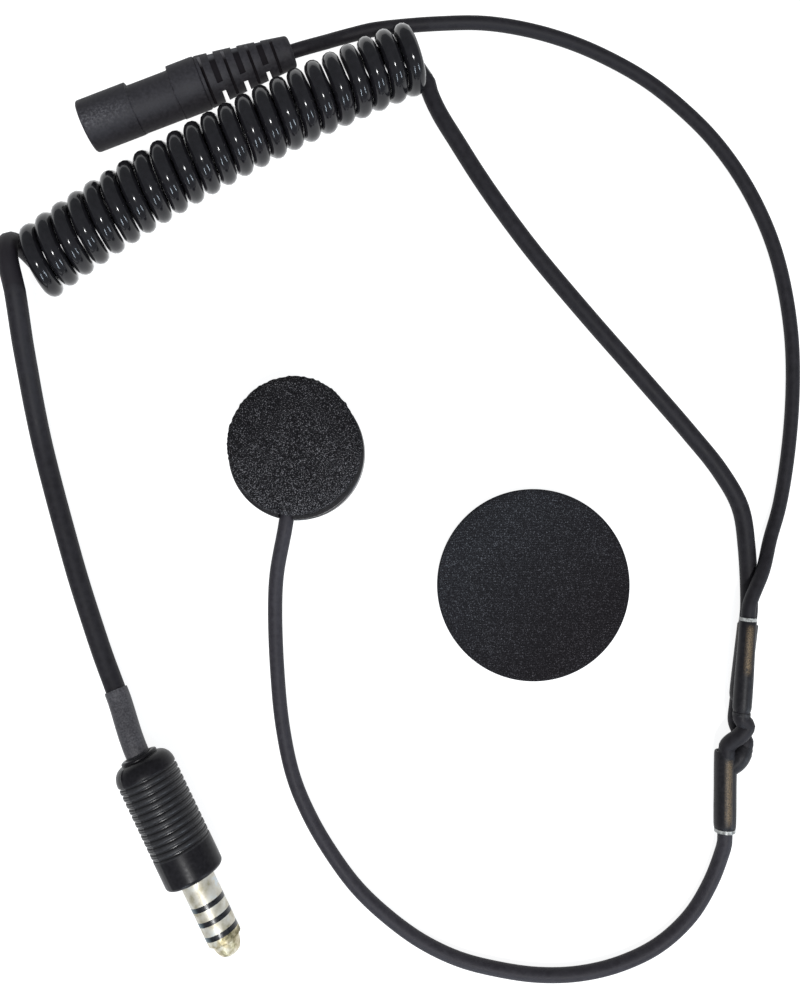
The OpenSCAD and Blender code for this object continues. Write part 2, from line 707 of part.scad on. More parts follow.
// Shrink sleeve over the joint: a straight tube, and a branch with a flat mouth for the second lead
module lower_sleeve() {
    color("#1b1b1d") {
        lying(lower_sleeve_place, lower_sleeve_turn, lower_sleeve_r)
            cylinder(r = lower_sleeve_r, h = lower_sleeve_l);
        hull() {
            lying(branch_points[0], branch_turn, lower_sleeve_r)
                cylinder(r = branch_mouth_r, h = 0.4, $fn = 32);
            branch_bend(1);
        }
        hull() {
            branch_bend(1);
            branch_bend(2);
        }
    }
}

module coil() {
    color("#0e0e10") skin(concat(
        [coil_ring_at(coil_near_end, coil_first)],
        [for (u = coil_steps) coil_ring_at(coil_point(u), u)],
        [coil_ring_at(coil_far_end, coil_last)]));
}

// Plug --------------------------------------------------------------------------------------------

module in_plug() {
    lying(plug_place, plug_turn, handle_r) children();
}

// A ring from one place on the plug's axis, with the given outer and inner radii
module barrel_ring(x, outer_r, inner_r, l) {
    translate([0, 0, x]) difference() {
        cylinder(r = outer_r, h = l);
        translate([0, 0, -1]) cylinder(r = inner_r, h = l + 2);
    }
}

module plug_boot() {
    color("#2a2a2c") lead(boot_route, boot_d, 10);
}

// Outline of the handle: entry ring, rounded shoulder, grip grooves, smooth collar, rounded front edge
module handle_profile() {
    shoulder_r = handle_r - entry_ring_d / 2;
    polygon(concat(
        [[0, 0], [entry_ring_d / 2 - entry_ring_edge, 0], [entry_ring_d / 2, entry_ring_edge]],
        [for (a = [0 : 10 : 90])
            [entry_ring_d / 2 + shoulder_r * sin(a), entry_ring_h + shoulder_l * (1 - cos(a))]],
        [for (i = [0 : grip_grooves - 1]) let (x = grip_start + i * grip_pitch) each [
            [handle_r, x],
            [handle_r - grip_depth, x + grip_edge],
            [handle_r - grip_depth, x + grip_pitch - grip_land - grip_edge],
            [handle_r, x + grip_pitch - grip_land]]],
        [for (a = [0 : 15 : 90])
            [handle_r - handle_front_r + handle_front_r * cos(a),
             handle_l - handle_front_r + handle_front_r * sin(a)]],
        [[0, handle_l]]));
}

module plug_handle() {
    color("#161617") in_plug() difference() {
        rotate_extrude() handle_profile();
        translate([0, 0, -1]) cylinder(d = boot_d + 2 * fit, h = boot_entry + 1);
        translate([0, 0, handle_l - sleeve_buried]) cylinder(r = stem_r + fit, h = sleeve_buried + 1);
    }
}

// The contact next to the handle, with a thinner stem that the handle is moulded on
module sleeve_contact() {
    color("silver") in_plug() translate([0, 0, handle_l - sleeve_buried]) difference() {
        union() {
            cylinder(r = stem_r, h = sleeve_buried + sleeve_l);
            translate([0, 0, sleeve_buried]) cylinder(r = barrel_r, h = sleeve_l);
        }
        translate([0, 0, -1]) cylinder(r = barrel_core_r + fit, h = sleeve_buried + sleeve_l + 2);
    }
}

module rear_insulator() {
    color("#303034") in_plug() barrel_ring(rear_insulator_x, barrel_r, barrel_core_r + fit, insulator_l);
}

module rear_ring_contact() {
    color("silver") in_plug() barrel_ring(rear_ring_x, barrel_r, barrel_core_r + fit, ring_contact_l);
}

module middle_insulator() {
    color("#303034") in_plug() barrel_ring(middle_insulator_x, barrel_r, barrel_core_r + fit, insulator_l);
}

module front_ring_contact() {
    color("silver") in_plug() barrel_ring(front_ring_x, barrel_r, barrel_core_r + fit, ring_contact_l);
}

module front_insulator() {
    color("#303034") in_plug() barrel_ring(front_insulator_x, barrel_r, barrel_core_r + fit, insulator_l);
}

// Outline of the tip: a band, a fine groove, and a nose that draws in to a blunt end
module tip_profile() {
    root_r = barrel_r - 0.6;
    polygon(concat(
        [[0, 0], [barrel_r, 0], [barrel_r, tip_band_l], [root_r - 0.1, tip_band_l + 0.15]],
        [for (f = [0.14, 0.3, 0.45, 0.6, 0.73, 0.86])
            [root_r - (root_r - nose_d / 2) * f * f, tip_band_l + f * nose_l]],
        [[nose_d / 2 - 0.5, tip_band_l + nose_l], [0, tip_band_l + nose_l]]));
}

module tip_contact() {
    color("#d9cfa0") in_plug() translate([0, 0, tip_x]) rotate_extrude() tip_profile();
}

// The rod that the rings are threaded on, from inside the handle to the tip
module barrel_core() {
    color("#4a4238") in_plug() translate([0, 0, handle_l - sleeve_buried])
        cylinder(r = barrel_core_r, h = tip_x - handle_l + sleeve_buried);
}

// In-line socket ------------------------------------------------------------------------------------

module in_socket() {
    lying(socket_place, socket_turn, socket_r) children();
}

// One moulding: a front band, a middle cut back round an offset axis so that one side is deep, a rear band
module socket_shell() {
    mouth_r = 0.5;
    middle_r = socket_r - recess_depth / 2 - 0.1;
    color("#26262a") in_socket() difference() {
        rotate_extrude() polygon(concat(
            [[0, 0]],
            [for (a = [0 : 30 : 90])
                [socket_r - mouth_r + mouth_r * sin(a), mouth_r * (1 - cos(a))]],
            [[socket_r, relief_x], [0, relief_x]]));
        translate([0, 0, recess_x]) difference() {
            cylinder(r = socket_r + 1, h = recess_l);
            translate([0, -recess_depth / 2, -1]) cylinder(r = middle_r, h = recess_l + 2);
        }
        translate([0, 0, -1]) cylinder(d = bush_d + 2 * fit, h = bush_l + 1);
        translate([0, 0, bush_l]) cylinder(d = chamber_d, h = chamber_l);
    }
}

module socket_bush() {
    color("silver") in_socket() difference() {
        cylinder(d = bush_d, h = bush_l);
        translate([0, 0, -1]) cylinder(r = mic_bore_r, h = bush_l + 2);
    }
}

// One contact spring along the chamber: a straight leaf with a bent crest that dips towards the plug
module contact_spring(l) {
    translate([-spring_r - spring_t, spring_w / 2, block_x]) rotate([90, 0, 0]) linear_extrude(spring_w)
        polygon([
            [0, spring_root_l], [spring_t, spring_root_l], [spring_t, -l + 2 * crest_l],
            [spring_t + crest_dip, -l + crest_l], [spring_t, -l], [0, -l],
            [crest_dip, -l + crest_l], [0, -l + 2 * crest_l]
        ]);
}

module tip_spring() {
    color("gold") in_socket() contact_spring(tip_spring_l);
}

module ring_spring() {
    color("gold") in_socket() rotate([0, 0, 180]) contact_spring(ring_spring_l);
}

// The block that closes the chamber and holds the roots of both springs in slots
module contact_block() {
    slot_w = spring_w + 2 * run_gap;
    slot_t = spring_t + 2 * run_gap;
    color("ivory") in_socket() difference() {
        translate([0, 0, block_x]) cylinder(d = chamber_d - 2 * fit, h = block_l - fit);
        for (side = [0, 180]) rotate([0, 0, side])
            translate([-spring_r - spring_t - run_gap, -slot_w / 2, block_x - 1])
                cube([slot_t, slot_w, spring_root_l + run_gap + 1]);
    }
}

// Tapered relief with a rounded free end. Thin slots leave webs at its sides, and wide slots leave webs
// near its top and bottom.
module socket_relief() {
    color("#2d2d30") in_socket() translate([0, 0, relief_x]) difference() {
        rotate_extrude() polygon(concat(
            [[0, 0], [relief_root_d / 2, 0]],
            [for (a = [0 : 22.5 : 90])
                [relief_end_d / 2 - relief_end_r * (1 - cos(a)), relief_l - relief_end_r * (1 - sin(a))]],
            [[0, relief_l]]));
        translate([0, 0, -1]) cylinder(d = relief_bore_d, h = relief_l + 2);
        for (k = [0 : relief_slots - 1]) {
            wide = k % 2 == 1;
            l = wide ? wide_slot_l : thin_slot_l;
            translate([0, 0, relief_first_slot + k * slot_pitch - l / 2])
                rotate([0, 0, wide ? wide_slot_lean : 90])
                    difference() {
                        translate([-relief_root_d / 2, -relief_root_d / 2, 0])
                            cube([relief_root_d, relief_root_d, l]);
                        translate([-relief_root_d / 2 - 1, -web_w / 2, -1])
                            cube([relief_root_d + 2, web_w, l + 2]);
                        translate([0, 0, -1]) cylinder(d = relief_core_d, h = l + 2);
                    }
        }
    }
}

// -------------------------------------------------------------------------------------------------

hook_disc();
capsule_cup();
capsule_grille();
foam_pad();
cable_grommet();
basket_ring();
magnet_yoke();
magnet();
pole_plate();
terminal_board();
voice_coil();
diaphragm();
disc_adhesive();
disc_foam();
disc_fabric();
earphone_lead();
lower_glue_ring();
lower_sleeve();
twist_lead_a();
twist_lead_b();
middle_glue_ring();
upper_sleeve();
upper_glue_ring();
splice_lead();
coil();
plug_lead();
plug_boot();
plug_handle();
sleeve_contact();
rear_insulator();
rear_ring_contact();
middle_insulator();
front_ring_contact();
front_insulator();
tip_contact();
barrel_core();
socket_lead();
socket_relief();
socket_shell();
socket_bush();
contact_block();
tip_spring();
ring_spring();
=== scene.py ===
import math
import bpy
import numpy as np
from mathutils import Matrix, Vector


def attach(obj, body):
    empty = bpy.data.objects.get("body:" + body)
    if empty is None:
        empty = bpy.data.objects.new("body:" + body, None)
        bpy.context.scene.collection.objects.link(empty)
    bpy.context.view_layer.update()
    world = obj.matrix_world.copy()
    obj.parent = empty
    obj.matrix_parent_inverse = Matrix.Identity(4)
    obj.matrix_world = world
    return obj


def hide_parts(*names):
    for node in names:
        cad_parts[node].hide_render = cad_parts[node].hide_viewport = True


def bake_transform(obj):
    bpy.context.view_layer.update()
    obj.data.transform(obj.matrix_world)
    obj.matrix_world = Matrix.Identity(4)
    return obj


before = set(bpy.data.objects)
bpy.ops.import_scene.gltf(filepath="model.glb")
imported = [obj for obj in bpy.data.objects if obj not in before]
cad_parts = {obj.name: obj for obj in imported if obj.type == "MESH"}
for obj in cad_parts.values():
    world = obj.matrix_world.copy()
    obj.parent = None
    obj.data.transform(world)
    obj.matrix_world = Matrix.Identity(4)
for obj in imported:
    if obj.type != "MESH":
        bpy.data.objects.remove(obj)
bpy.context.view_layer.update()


# Camera: it stands a little under 200 mm above the table and looks straight down at the set, with
# the coil and the in-line socket at the top of the view and the plug at its lower left.
camera_data = bpy.data.cameras.new("camera")
camera_data.sensor_fit = "AUTO"
camera_data.sensor_width = 36
camera_data.lens = 32.544
camera_data.clip_start = 0.01
camera = bpy.data.objects.new("camera", camera_data)
camera.location = (0.02145, -0.00979, 0.19384)
bpy.context.scene.collection.objects.link(camera)
bpy.context.scene.camera = camera


# Coiled cord: a four-core cord with a glossy black PVC jacket, wound left-handed on a rod and set
# by heat. Its turns lie close together along a wide arc, and the first one opens to the plug.
coil_line_d = 0.0037
coil_r = 0.0055
coil_pitch = 0.00392
coil_turns = 23.5
coil_first = -0.25
coil_last = coil_first + coil_turns
coil_open_from = 0.75
coil_opening = 0.0018
coil_flare = 0.0012
coil_flattening = 0.0004
coil_flat_from = 18
coil_proud_to = 8
coil_proud_share = 0.6
coil_last_crest = 0.75
coil_bend_r = 0.339
coil_turn = 36.7
coil_lean = (8.7, -6.7)
coil_place = Vector((-0.0544, 0.0379))
coil_gap = 0.0001
coil_height = coil_r + coil_line_d / 2 + coil_gap


def coil_shift(turns):
    return coil_pitch * turns - coil_opening * max(0, coil_open_from - turns) ** 3


def coil_reach(turns):
    """Distance from the coil's axis to the cord: the first crest stands out, later ones less."""
    crest = max(0, math.cos(2 * math.pi * turns)) ** 2
    if turns < coil_first + 0.5:
        return coil_r + coil_flare * crest
    flat = coil_flattening * (min(1, turns / coil_flat_from)
                              - coil_proud_share * max(0, 1 - turns / coil_proud_to))
    if turns > coil_last - coil_last_crest:
        flat += coil_flattening
    return coil_r - flat * crest


def coil_point(turns):
    along = coil_shift(turns)
    start = math.radians(coil_turn)
    heading = start - along / coil_bend_r
    lean_change = (coil_lean[1] - coil_lean[0]) * along / (coil_turns * coil_pitch)
    side = heading - math.radians(coil_lean[0] + lean_change)
    round_angle = -2 * math.pi * turns
    middle = Vector((coil_place.x + coil_bend_r * (math.sin(start) - math.sin(heading)),
                     coil_place.y + coil_bend_r * (math.cos(heading) - math.cos(start)),
                     coil_height))
    return middle + coil_reach(turns) * Vector((-math.cos(round_angle) * math.sin(side),
                                                math.cos(round_angle) * math.cos(side),
                                                math.sin(round_angle)))


def coil_heading(turns):
    return (coil_point(turns + 0.001) - coil_point(turns - 0.001)).normalized()


def smooth_line(points, step=0.0015):
    """Points a step apart on one smooth curve through the points given."""
    p = [Vector(q) for q in points]
    p = [p[0] * 2 - p[1]] + p + [p[-1] * 2 - p[-2]]
    knots = [0.0]
    for a, b in zip(p, p[1:]):
        knots.append(knots[-1] + max(1e-6, (b - a).length) ** 0.5)
    line = []
    for i in range(1, len(p) - 2):
        t0, t1, t2, t3 = knots[i - 1:i + 3]
        count = max(1, round((p[i + 1] - p[i]).length / step))
        for k in range(count):
            t = t1 + (t2 - t1) * k / count
            a1 = p[i - 1].lerp(p[i], (t - t0) / (t1 - t0))
            a2 = p[i].lerp(p[i + 1], (t - t1) / (t2 - t1))
            a3 = p[i + 1].lerp(p[i + 2], (t - t2) / (t3 - t2))
            b1 = a1.lerp(a2, (t - t0) / (t2 - t0))
            b2 = a2.lerp(a3, (t - t1) / (t3 - t1))
            line.append(b1.lerp(b2, (t - t1) / (t2 - t1)))
    line.append(p[-2])
    return line


def lay_cord(name, line, diameter, thickness=None):
    """A round cord along a line of points; thickness gives its relative width at each point."""
    curve = bpy.data.curves.new(name, "CURVE")
    curve.dimensions = "3D"
    curve.bevel_depth = diameter / 2
    curve.bevel_resolution = 5
    curve.use_fill_caps = True
    strand = curve.splines.new("POLY")
    strand.points.add(len(line) - 1)
    for i, place in enumerate(line):
        strand.points[i].co = (*place, 1)
        strand.points[i].radius = 1 if thickness is None else thickness[i]
    cord = bpy.data.objects.new(name, curve)
    bpy.context.scene.collection.objects.link(cord)
    return cord


def select_only(piece):
    bpy.ops.object.select_all(action="DESELECT")
    piece.select_set(True)
    bpy.context.view_layer.objects.active = piece


def new_finish(name, colour, roughness, metallic=0.0, specular=0.5):
    """A material with its shader's own sockets set, with its node tree and its shader."""
    material = bpy.data.materials.new(name)
    material.use_nodes = True
    tree = material.node_tree
    shader = tree.nodes["Principled BSDF"]
    shader.inputs["Base Color"].default_value = (*colour, 1)
    shader.inputs["Roughness"].default_value = roughness
    shader.inputs["Metallic"].default_value = metallic
    shader.inputs["Specular IOR Level"].default_value = specular
    return material, tree, shader


def object_places(tree):
    return tree.nodes.new("ShaderNodeTexCoord").outputs["Object"]


def noise_on(tree, where, scale, detail, roughness=0.5):
    noise = tree.nodes.new("ShaderNodeTexNoise")
    noise.inputs["Scale"].default_value = scale
    noise.inputs["Detail"].default_value = detail
    noise.inputs["Roughness"].default_value = roughness
    tree.links.new(where, noise.inputs["Vector"])
    return noise.outputs["Fac"]


def tinted(tree, value, tones):
    """A value as a colour, between tones of (value, colour)."""
    tint = tree.nodes.new("ShaderNodeValToRGB")
    stops = tint.color_ramp.elements
    while len(stops) < len(tones):
        stops.new(0.5)
    for stop, (position, colour) in enumerate(tones):
        stops[stop].position = position
        stops[stop].color = (*colour, 1)
    tree.links.new(value, tint.inputs["Fac"])
    return tint.outputs["Color"]


def spread(tree, value, given, wanted=(0, 1)):
    """A value moved from the range given to the range wanted, and held within it."""
    span = tree.nodes.new("ShaderNodeMapRange")
    span.inputs["From Min"].default_value, span.inputs["From Max"].default_value = given
    span.inputs["To Min"].default_value, span.inputs["To Max"].default_value = wanted
    tree.links.new(value, span.inputs["Value"])
    return span.outputs["Result"]


def mixed(tree, share, first, second):
    """Passes from the first to the second as the share grows: each is a colour or an output."""
    mix = tree.nodes.new("ShaderNodeMix")
    mix.data_type = "RGBA"
    tree.links.new(share, mix.inputs["Factor"])
    for socket, colour in (("A", first), ("B", second)):
        if isinstance(colour, tuple):
            mix.inputs[socket].default_value = (*colour, 1)
        else:
            tree.links.new(colour, mix.inputs[socket])
    return mix.outputs["Result"]


def add_relief(tree, shader, height, strength, distance):
    bump = tree.nodes.new("ShaderNodeBump")
    bump.inputs["Strength"].default_value = strength
    bump.inputs["Distance"].default_value = distance
    tree.links.new(height, bump.inputs["Height"])
    tree.links.new(bump.outputs["Normal"], shader.inputs["Normal"])


def grain(tree, shader, scale, tones, gloss, strength, height=0.0001):
    """Fine uneven grain in the colour, the height and, with a gloss given, the roughness."""
    noise = noise_on(tree, object_places(tree), scale, 4)
    tint = tinted(tree, noise, ((0.35, tones[0]), (0.7, tones[1])))
    tree.links.new(tint, shader.inputs["Base Color"])
    if gloss:
        tree.links.new(spread(tree, noise, (0.3, 0.7), gloss), shader.inputs["Roughness"])
    add_relief(tree, shader, noise, strength, height)
    return tint


coil_steps = 26
coil_end_l = 0.0032
coil_turn_places = [coil_first + i / coil_steps for i in range(int(coil_turns * coil_steps) + 1)]
coil_near_end = coil_point(coil_first) - coil_end_l * coil_heading(coil_first)
coil_far_end = coil_point(coil_last) + coil_end_l * coil_heading(coil_last)
coil_line = [coil_near_end] + [coil_point(turns) for turns in coil_turn_places] + [coil_far_end]
# The jacket is thicker up to the first crest, where the winding has not stretched it
coil_first_width = 1.12
coil_width = [1 + (coil_first_width - 1) * min(1, max(0, 1.4 - 4 * turns))
              for turns in coil_turn_places]
coil = lay_cord("curly_cord", coil_line, coil_line_d, [coil_first_width] + coil_width + [1.0])
select_only(coil)
bpy.ops.object.convert(target="MESH")
# The winding heat glazes the turns; the first half turn stays satin like the lead it runs out to
satin_points = 9
fade_points = 8
start_points = 40
start_reach = 0.0025
glaze = coil.data.attributes.new("glaze", "FLOAT", "POINT")
line_points = np.array([tuple(p) for p in coil_line[:start_points]])
for vertex in coil.data.vertices:
    away = np.linalg.norm(line_points - np.array(vertex.co), axis=1)
    share = 1
    if away.min() < start_reach:
        share = min(1, max(0, (int(away.argmin()) - satin_points) / fade_points))
    glaze.data[vertex.index].value = share
gloss_jacket, tree, shader = new_finish("gloss_jacket", (0.004, 0.004, 0.0045), 0.12, specular=0.35)
tint = grain(tree, shader, 900, ((0.0085, 0.008, 0.0096), (0.0135, 0.0127, 0.015)), None, 0.04)
glazed = tree.nodes.new("ShaderNodeAttribute")
glazed.attribute_name = "glaze"
tree.links.new(spread(tree, glazed.outputs["Fac"], (0, 1), (0.6, 0.13)), shader.inputs["Roughness"])
tree.links.new(mixed(tree, glazed.outputs["Fac"], (0.0115, 0.009, 0.0124), tint),
               shader.inputs["Base Color"])
coil.data.materials.append(gloss_jacket)
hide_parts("coil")
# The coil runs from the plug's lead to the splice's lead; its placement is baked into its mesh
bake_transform(coil)


# Plug: a one-piece moulded handle of glossy black PVC with grip rings, on the sleeve contact's
# stem. The cord comes out of a raised ring at its rear. The mould has left a seam along one side.
def reach(place, turn, distance):
    return Vector((place[0] + distance * math.cos(math.radians(turn)),
                   place[1] + distance * math.sin(math.radians(turn))))


def side_of(turn):
    """The way to the left of a turn on the table."""
    return Vector((-math.sin(math.radians(turn)), math.cos(math.radians(turn))))


def at_height(place, z):
    return Vector((place[0], place[1], z))


def smooth_faces(piece, angle=40):
    select_only(piece)
    bpy.ops.object.shade_smooth_by_angle(angle=math.radians(angle))


def turned(name, rings, sides=96):
    """A closed piece turned on the Z axis, through rings of (height, radius)."""
    bpy.ops.object.select_all(action="DESELECT")
    bpy.ops.mesh.primitive_circle_add(vertices=sides, radius=rings[0][1], fill_type="NGON",
                                      location=(0, 0, 0))
    piece = bpy.context.active_object
    piece.name = name
    bpy.ops.object.mode_set(mode="EDIT")
    bpy.ops.mesh.select_all(action="SELECT")
    bpy.ops.transform.translate(value=(0, 0, rings[0][0]))
    for (low, inner), (high, outer) in zip(rings, rings[1:]):
        bpy.ops.mesh.extrude_region_move(TRANSFORM_OT_translate={"value": (0, 0, high - low)})
        bpy.ops.transform.resize(value=(outer / inner, outer / inner, 1))
    bpy.ops.mesh.select_all(action="SELECT")
    bpy.ops.mesh.normals_make_consistent(inside=False)
    bpy.ops.object.mode_set(mode="OBJECT")
    return piece


def apply_place():
    bpy.ops.object.transform_apply(location=True, rotation=True, scale=True)


def lay_down(piece, place, turn, height):
    """Lays a turned piece down: its Z axis along a direction on the table, at a height."""
    select_only(piece)
    piece.rotation_euler = (0, math.pi / 2, math.radians(turn))
    piece.location = (place[0], place[1], height)
    apply_place()


def axis_space(tree, place, turn, height):
    """Object coordinates turned so that X runs along a lying piece's axis, from its place."""
    shift = tree.nodes.new("ShaderNodeMapping")
    shift.vector_type = "TEXTURE"
    shift.inputs["Location"].default_value = (place[0], place[1], height)
    shift.inputs["Rotation"].default_value = (0, 0, math.radians(turn))
    tree.links.new(object_places(tree), shift.inputs["Vector"])
    return shift.outputs["Vector"]


def bands_on(tree, where, axis, scale, distortion=0, detail=2):
    bands = tree.nodes.new("ShaderNodeTexWave")
    bands.bands_direction = axis
    bands.inputs["Scale"].default_value = scale
    bands.inputs["Distortion"].default_value = distortion
    bands.inputs["Detail"].default_value = detail
    tree.links.new(where, bands.inputs["Vector"])
    return bands.outputs["Fac"]


def shaded(tree, colour, amount):
    shade = tree.nodes.new("ShaderNodeVectorMath")
    shade.operation = "SCALE"
    tree.links.new(colour, shade.inputs[0])
    tree.links.new(amount, shade.inputs["Scale"])
    return shade.outputs["Vector"]


handle_r = 0.00625
handle_l = 0.0278
plug_place = (-0.0329, -0.0627)
plug_turn = -64.6
entry_ring_r = 0.0038
shoulder_x = 0.0008
shoulder_r = 0.00384
shoulder_l = 0.0032
grip_start = 0.0043
grip_pitch = 0.00145
grip_grooves = 12
collar_l = 0.006
edge_round = 0.001
handle_rings = [(0.0006, 0.0026), (0, 0.0028), (0, 0.0034), (0.0001, 0.00366),
                (0.0003, entry_ring_r), (0.0005, entry_ring_r), (0.00072, 0.00376),
                (shoulder_x, shoulder_r)]
shoulder_steps = 12
for i in range(1, shoulder_steps + 1):
    a = math.radians(90 / shoulder_steps * i)
    handle_rings.append((shoulder_x + shoulder_l * (1 - math.cos(a)),
                         shoulder_r + (handle_r - shoulder_r) * math.sin(a)))
# One grip groove and the land after it: (distance along the handle, depth)
groove = ((-0.00006, 0.00002), (0, 0.00006), (0.00012, 0.00024), (0.0002, 0.0003), (0.0004, 0.0003),
          (0.00048, 0.00024), (0.0006, 0.00006), (0.00066, 0.00002), (0.00102, 0))
for i in range(grip_grooves):
    handle_rings += [(grip_start + i * grip_pitch + x, handle_r - depth) for x, depth in groove]
handle_rings.append((handle_l - 0.003, handle_r))
for i in range(10):
    a = math.radians(10 * i)
    handle_rings.append((handle_l - edge_round * (1 - math.sin(a)),
                         handle_r - edge_round * (1 - math.cos(a))))
handle_rings += [(handle_l, 0.0038), (handle_l - 0.0003, 0.00365), (handle_l - 0.0003, 0.0031)]
handle = turned("plug_handle_moulding", handle_rings, 128)
# The seam: one line of points along the handle stands proud, and half fills each groove
seam_angle = 213.75
seam_start = 0.0009
seam_stop = handle_l - 0.0004
seam_proud = 0.00005
seam_fill = 0.0002
seam_sunk = 0.0001
for vertex in handle.data.vertices:
    angle = math.degrees(math.atan2(vertex.co.y, vertex.co.x)) % 360
    if abs(angle - seam_angle) < 1 and seam_start < vertex.co.z < seam_stop:
        radius = math.hypot(vertex.co.x, vertex.co.y)
        wanted = max(radius + seam_proud, min(handle_r - seam_sunk, radius + seam_fill))
        vertex.co.x *= wanted / radius
        vertex.co.y *= wanted / radius
for face in handle.data.polygons:
    if not grip_start < face.center.z < handle_l - collar_l:
        face.material_index = 1
lay_down(handle, plug_place, plug_turn, handle_r)
smooth_faces(handle, 35)
# The grip is turned to fine rings, glossier along each ring, and its colour is painted lighter
# along the rings as painted highlight lines; the collar and the rounded end are plain
handle_base = (0.011, 0.0102, 0.012)
handle_tones = ((0.0085, 0.0078, 0.0093), (0.0145, 0.0133, 0.0158))
handle_finish, tree, shader = new_finish("ringed_black_moulding", handle_base, 0.35)
tint = grain(tree, shader, 1500, handle_tones, None, 0.03, 0.00005)
rings = bands_on(tree, axis_space(tree, plug_place, plug_turn, handle_r), "X", 650)
tree.links.new(spread(tree, rings, (0.35, 1), (0.66, 0.27)), shader.inputs["Roughness"])
# Painted highlight: the grip's colour is made lighter along each ring and darker between them
tree.links.new(shaded(tree, tint, spread(tree, rings, (0, 1), (0.45, 1.3))),
               shader.inputs["Base Color"])
plain_finish, tree, shader = new_finish("plain_black_moulding", handle_base, 0.36, specular=0.16)
grain(tree, shader, 1500, handle_tones, (0.3, 0.42), 0.03, 0.00005)
handle.data.materials.append(handle_finish)
handle.data.materials.append(plain_finish)
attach(handle, "plug_end")
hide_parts("plug_handle")


# Plug boot: heat-shrink tube of grey-black polyolefin over the cord, pushed into the handle's
# ring. It sags to the table behind the handle.
boot_l = 0.0141
boot_r = 0.002425
boot_droop = 0.0033
boot_swing = 0.0004
boot_inside = 0.0006
boot_route = [at_height(reach(plug_place, plug_turn, boot_inside), handle_r)]
for f in (0, 0.1, 0.3, 0.5, 0.7, 0.85, 1):
    place = reach(plug_place, plug_turn, -f * boot_l) + boot_swing * f * f * side_of(plug_turn)
    boot_route.append(at_height(place, handle_r - boot_droop * f * f * (3 - 2 * f)))
boot_end = boot_route[-1]
boot_heading = (boot_end - boot_route[-2]).normalized()
boot_line = smooth_line(boot_route, 0.0006)
boot = lay_cord("plug_shrink_boot", boot_line, 2 * boot_r, [1.0] * (len(boot_line) - 1) + [0.97])


def grained_finish(name, colour, roughness, scale, tones, gloss, strength, height=0.0001,
                   specular=0.5):
    """A plain finish of one colour with grain."""
    material, tree, shader = new_finish(name, colour, roughness, specular=specular)
    grain(tree, shader, scale, tones, gloss, strength, height)
    return material


boot.data.materials.append(grained_finish(
    "grey_shrink_tube", (0.05, 0.048, 0.051), 0.55, 2600,
    ((0.033, 0.031, 0.036), (0.095, 0.09, 0.098)), (0.5, 0.65), 0.35, 0.00006))
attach(boot, "plug_end")
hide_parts("plug_boot")


# Pin: four nickel-plated brass contacts on a core, parted by rings of dark insulating resin. Wear
# from the jack has laid bare a little of the yellow brass, and handling has tinted the plating.
def wear(tree, shader, scale, tones, where=None):
    """Blotches of several tones over a surface."""
    noise = noise_on(tree, where or object_places(tree), scale, 6)
    tree.links.new(tinted(tree, noise, tones), shader.inputs["Base Color"])


nickel, tree, shader = new_finish("worn_nickel", (0.6, 0.58, 0.53), 0.4, 0.6)
along = axis_space(tree, plug_place, plug_turn, handle_r)
wear(tree, shader, 420, ((0.34, (0.4, 0.36, 0.25)), (0.45, (0.58, 0.54, 0.45)),
                         (0.56, (0.68, 0.65, 0.57)), (0.68, (0.66, 0.71, 0.74))), along)
stretch = tree.nodes.new("ShaderNodeMapping")
stretch.inputs["Scale"].default_value = (9000, 300, 300)
tree.links.new(along, stretch.inputs["Vector"])
lathe_marks = noise_on(tree, stretch.outputs["Vector"], 1, 3)
tree.links.new(spread(tree, lathe_marks, (0, 1), (0.42, 0.6)), shader.inputs["Roughness"])
add_relief(tree, shader, lathe_marks, 0.15, 0.00002)


def refinish(node, finish):
    """Puts a finish on a node's own object."""
    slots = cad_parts[node].data.materials
    if len(slots):
        slots[0] = finish
    else:
        slots.append(finish)


for node in ("sleeve_contact", "rear_ring_contact", "front_ring_contact"):
    refinish(node, nickel)

gilt, tree, shader = new_finish("worn_tip", (0.5, 0.44, 0.3), 0.45, 0.6)
wear(tree, shader, 520, ((0.36, (0.16, 0.14, 0.07)), (0.45, (0.45, 0.39, 0.24)),
                         (0.55, (0.66, 0.6, 0.46)), (0.66, (0.78, 0.75, 0.64))),
     axis_space(tree, plug_place, plug_turn, handle_r))
refinish("tip_contact", gilt)


def split_places(tree, where):
    """The X and the Y of places."""
    split = tree.nodes.new("ShaderNodeSeparateXYZ")
    tree.links.new(where, split.inputs[0])
    return split.outputs["X"], split.outputs["Y"]


dark_resin, tree, shader = new_finish("dark_resin", (0.006, 0.006, 0.009), 0.3)
tint = grain(tree, shader, 1800, ((0.004, 0.004, 0.006), (0.009, 0.009, 0.013)), (0.25, 0.4), 0.05)
# The resin is painted teal on one side of the plug, a painted reflection
painted_teal_y = (-0.0014, -0.0034)
across = split_places(tree, axis_space(tree, plug_place, plug_turn, handle_r))[1]
painted_reflection_side = spread(tree, across, painted_teal_y)
tree.links.new(mixed(tree, painted_reflection_side, tint, (0.035, 0.1, 0.13)), shader.inputs["Base Color"])
for node in ("rear_insulator", "middle_insulator", "front_insulator", "barrel_core"):
    refinish(node, dark_resin)


# Plug lead: the coil's own cord, let out straight and round to the plug. Its jacket is satin where
# the winding heat has not glazed it. It hangs down from the first turn and lies on the table.
def on_axis(place, turn, height, distances):
    """Places on a lying piece's axis, at distances from its own place."""
    return [at_height(reach(place, turn, distance), height) for distance in distances]


def lying_line(points, diameter):
    """Points in millimetres, with the lift above lying on the table, as places in metres."""
    return [Vector((x / 1000, y / 1000, z / 1000 + diameter / 2)) for x, y, z in points]


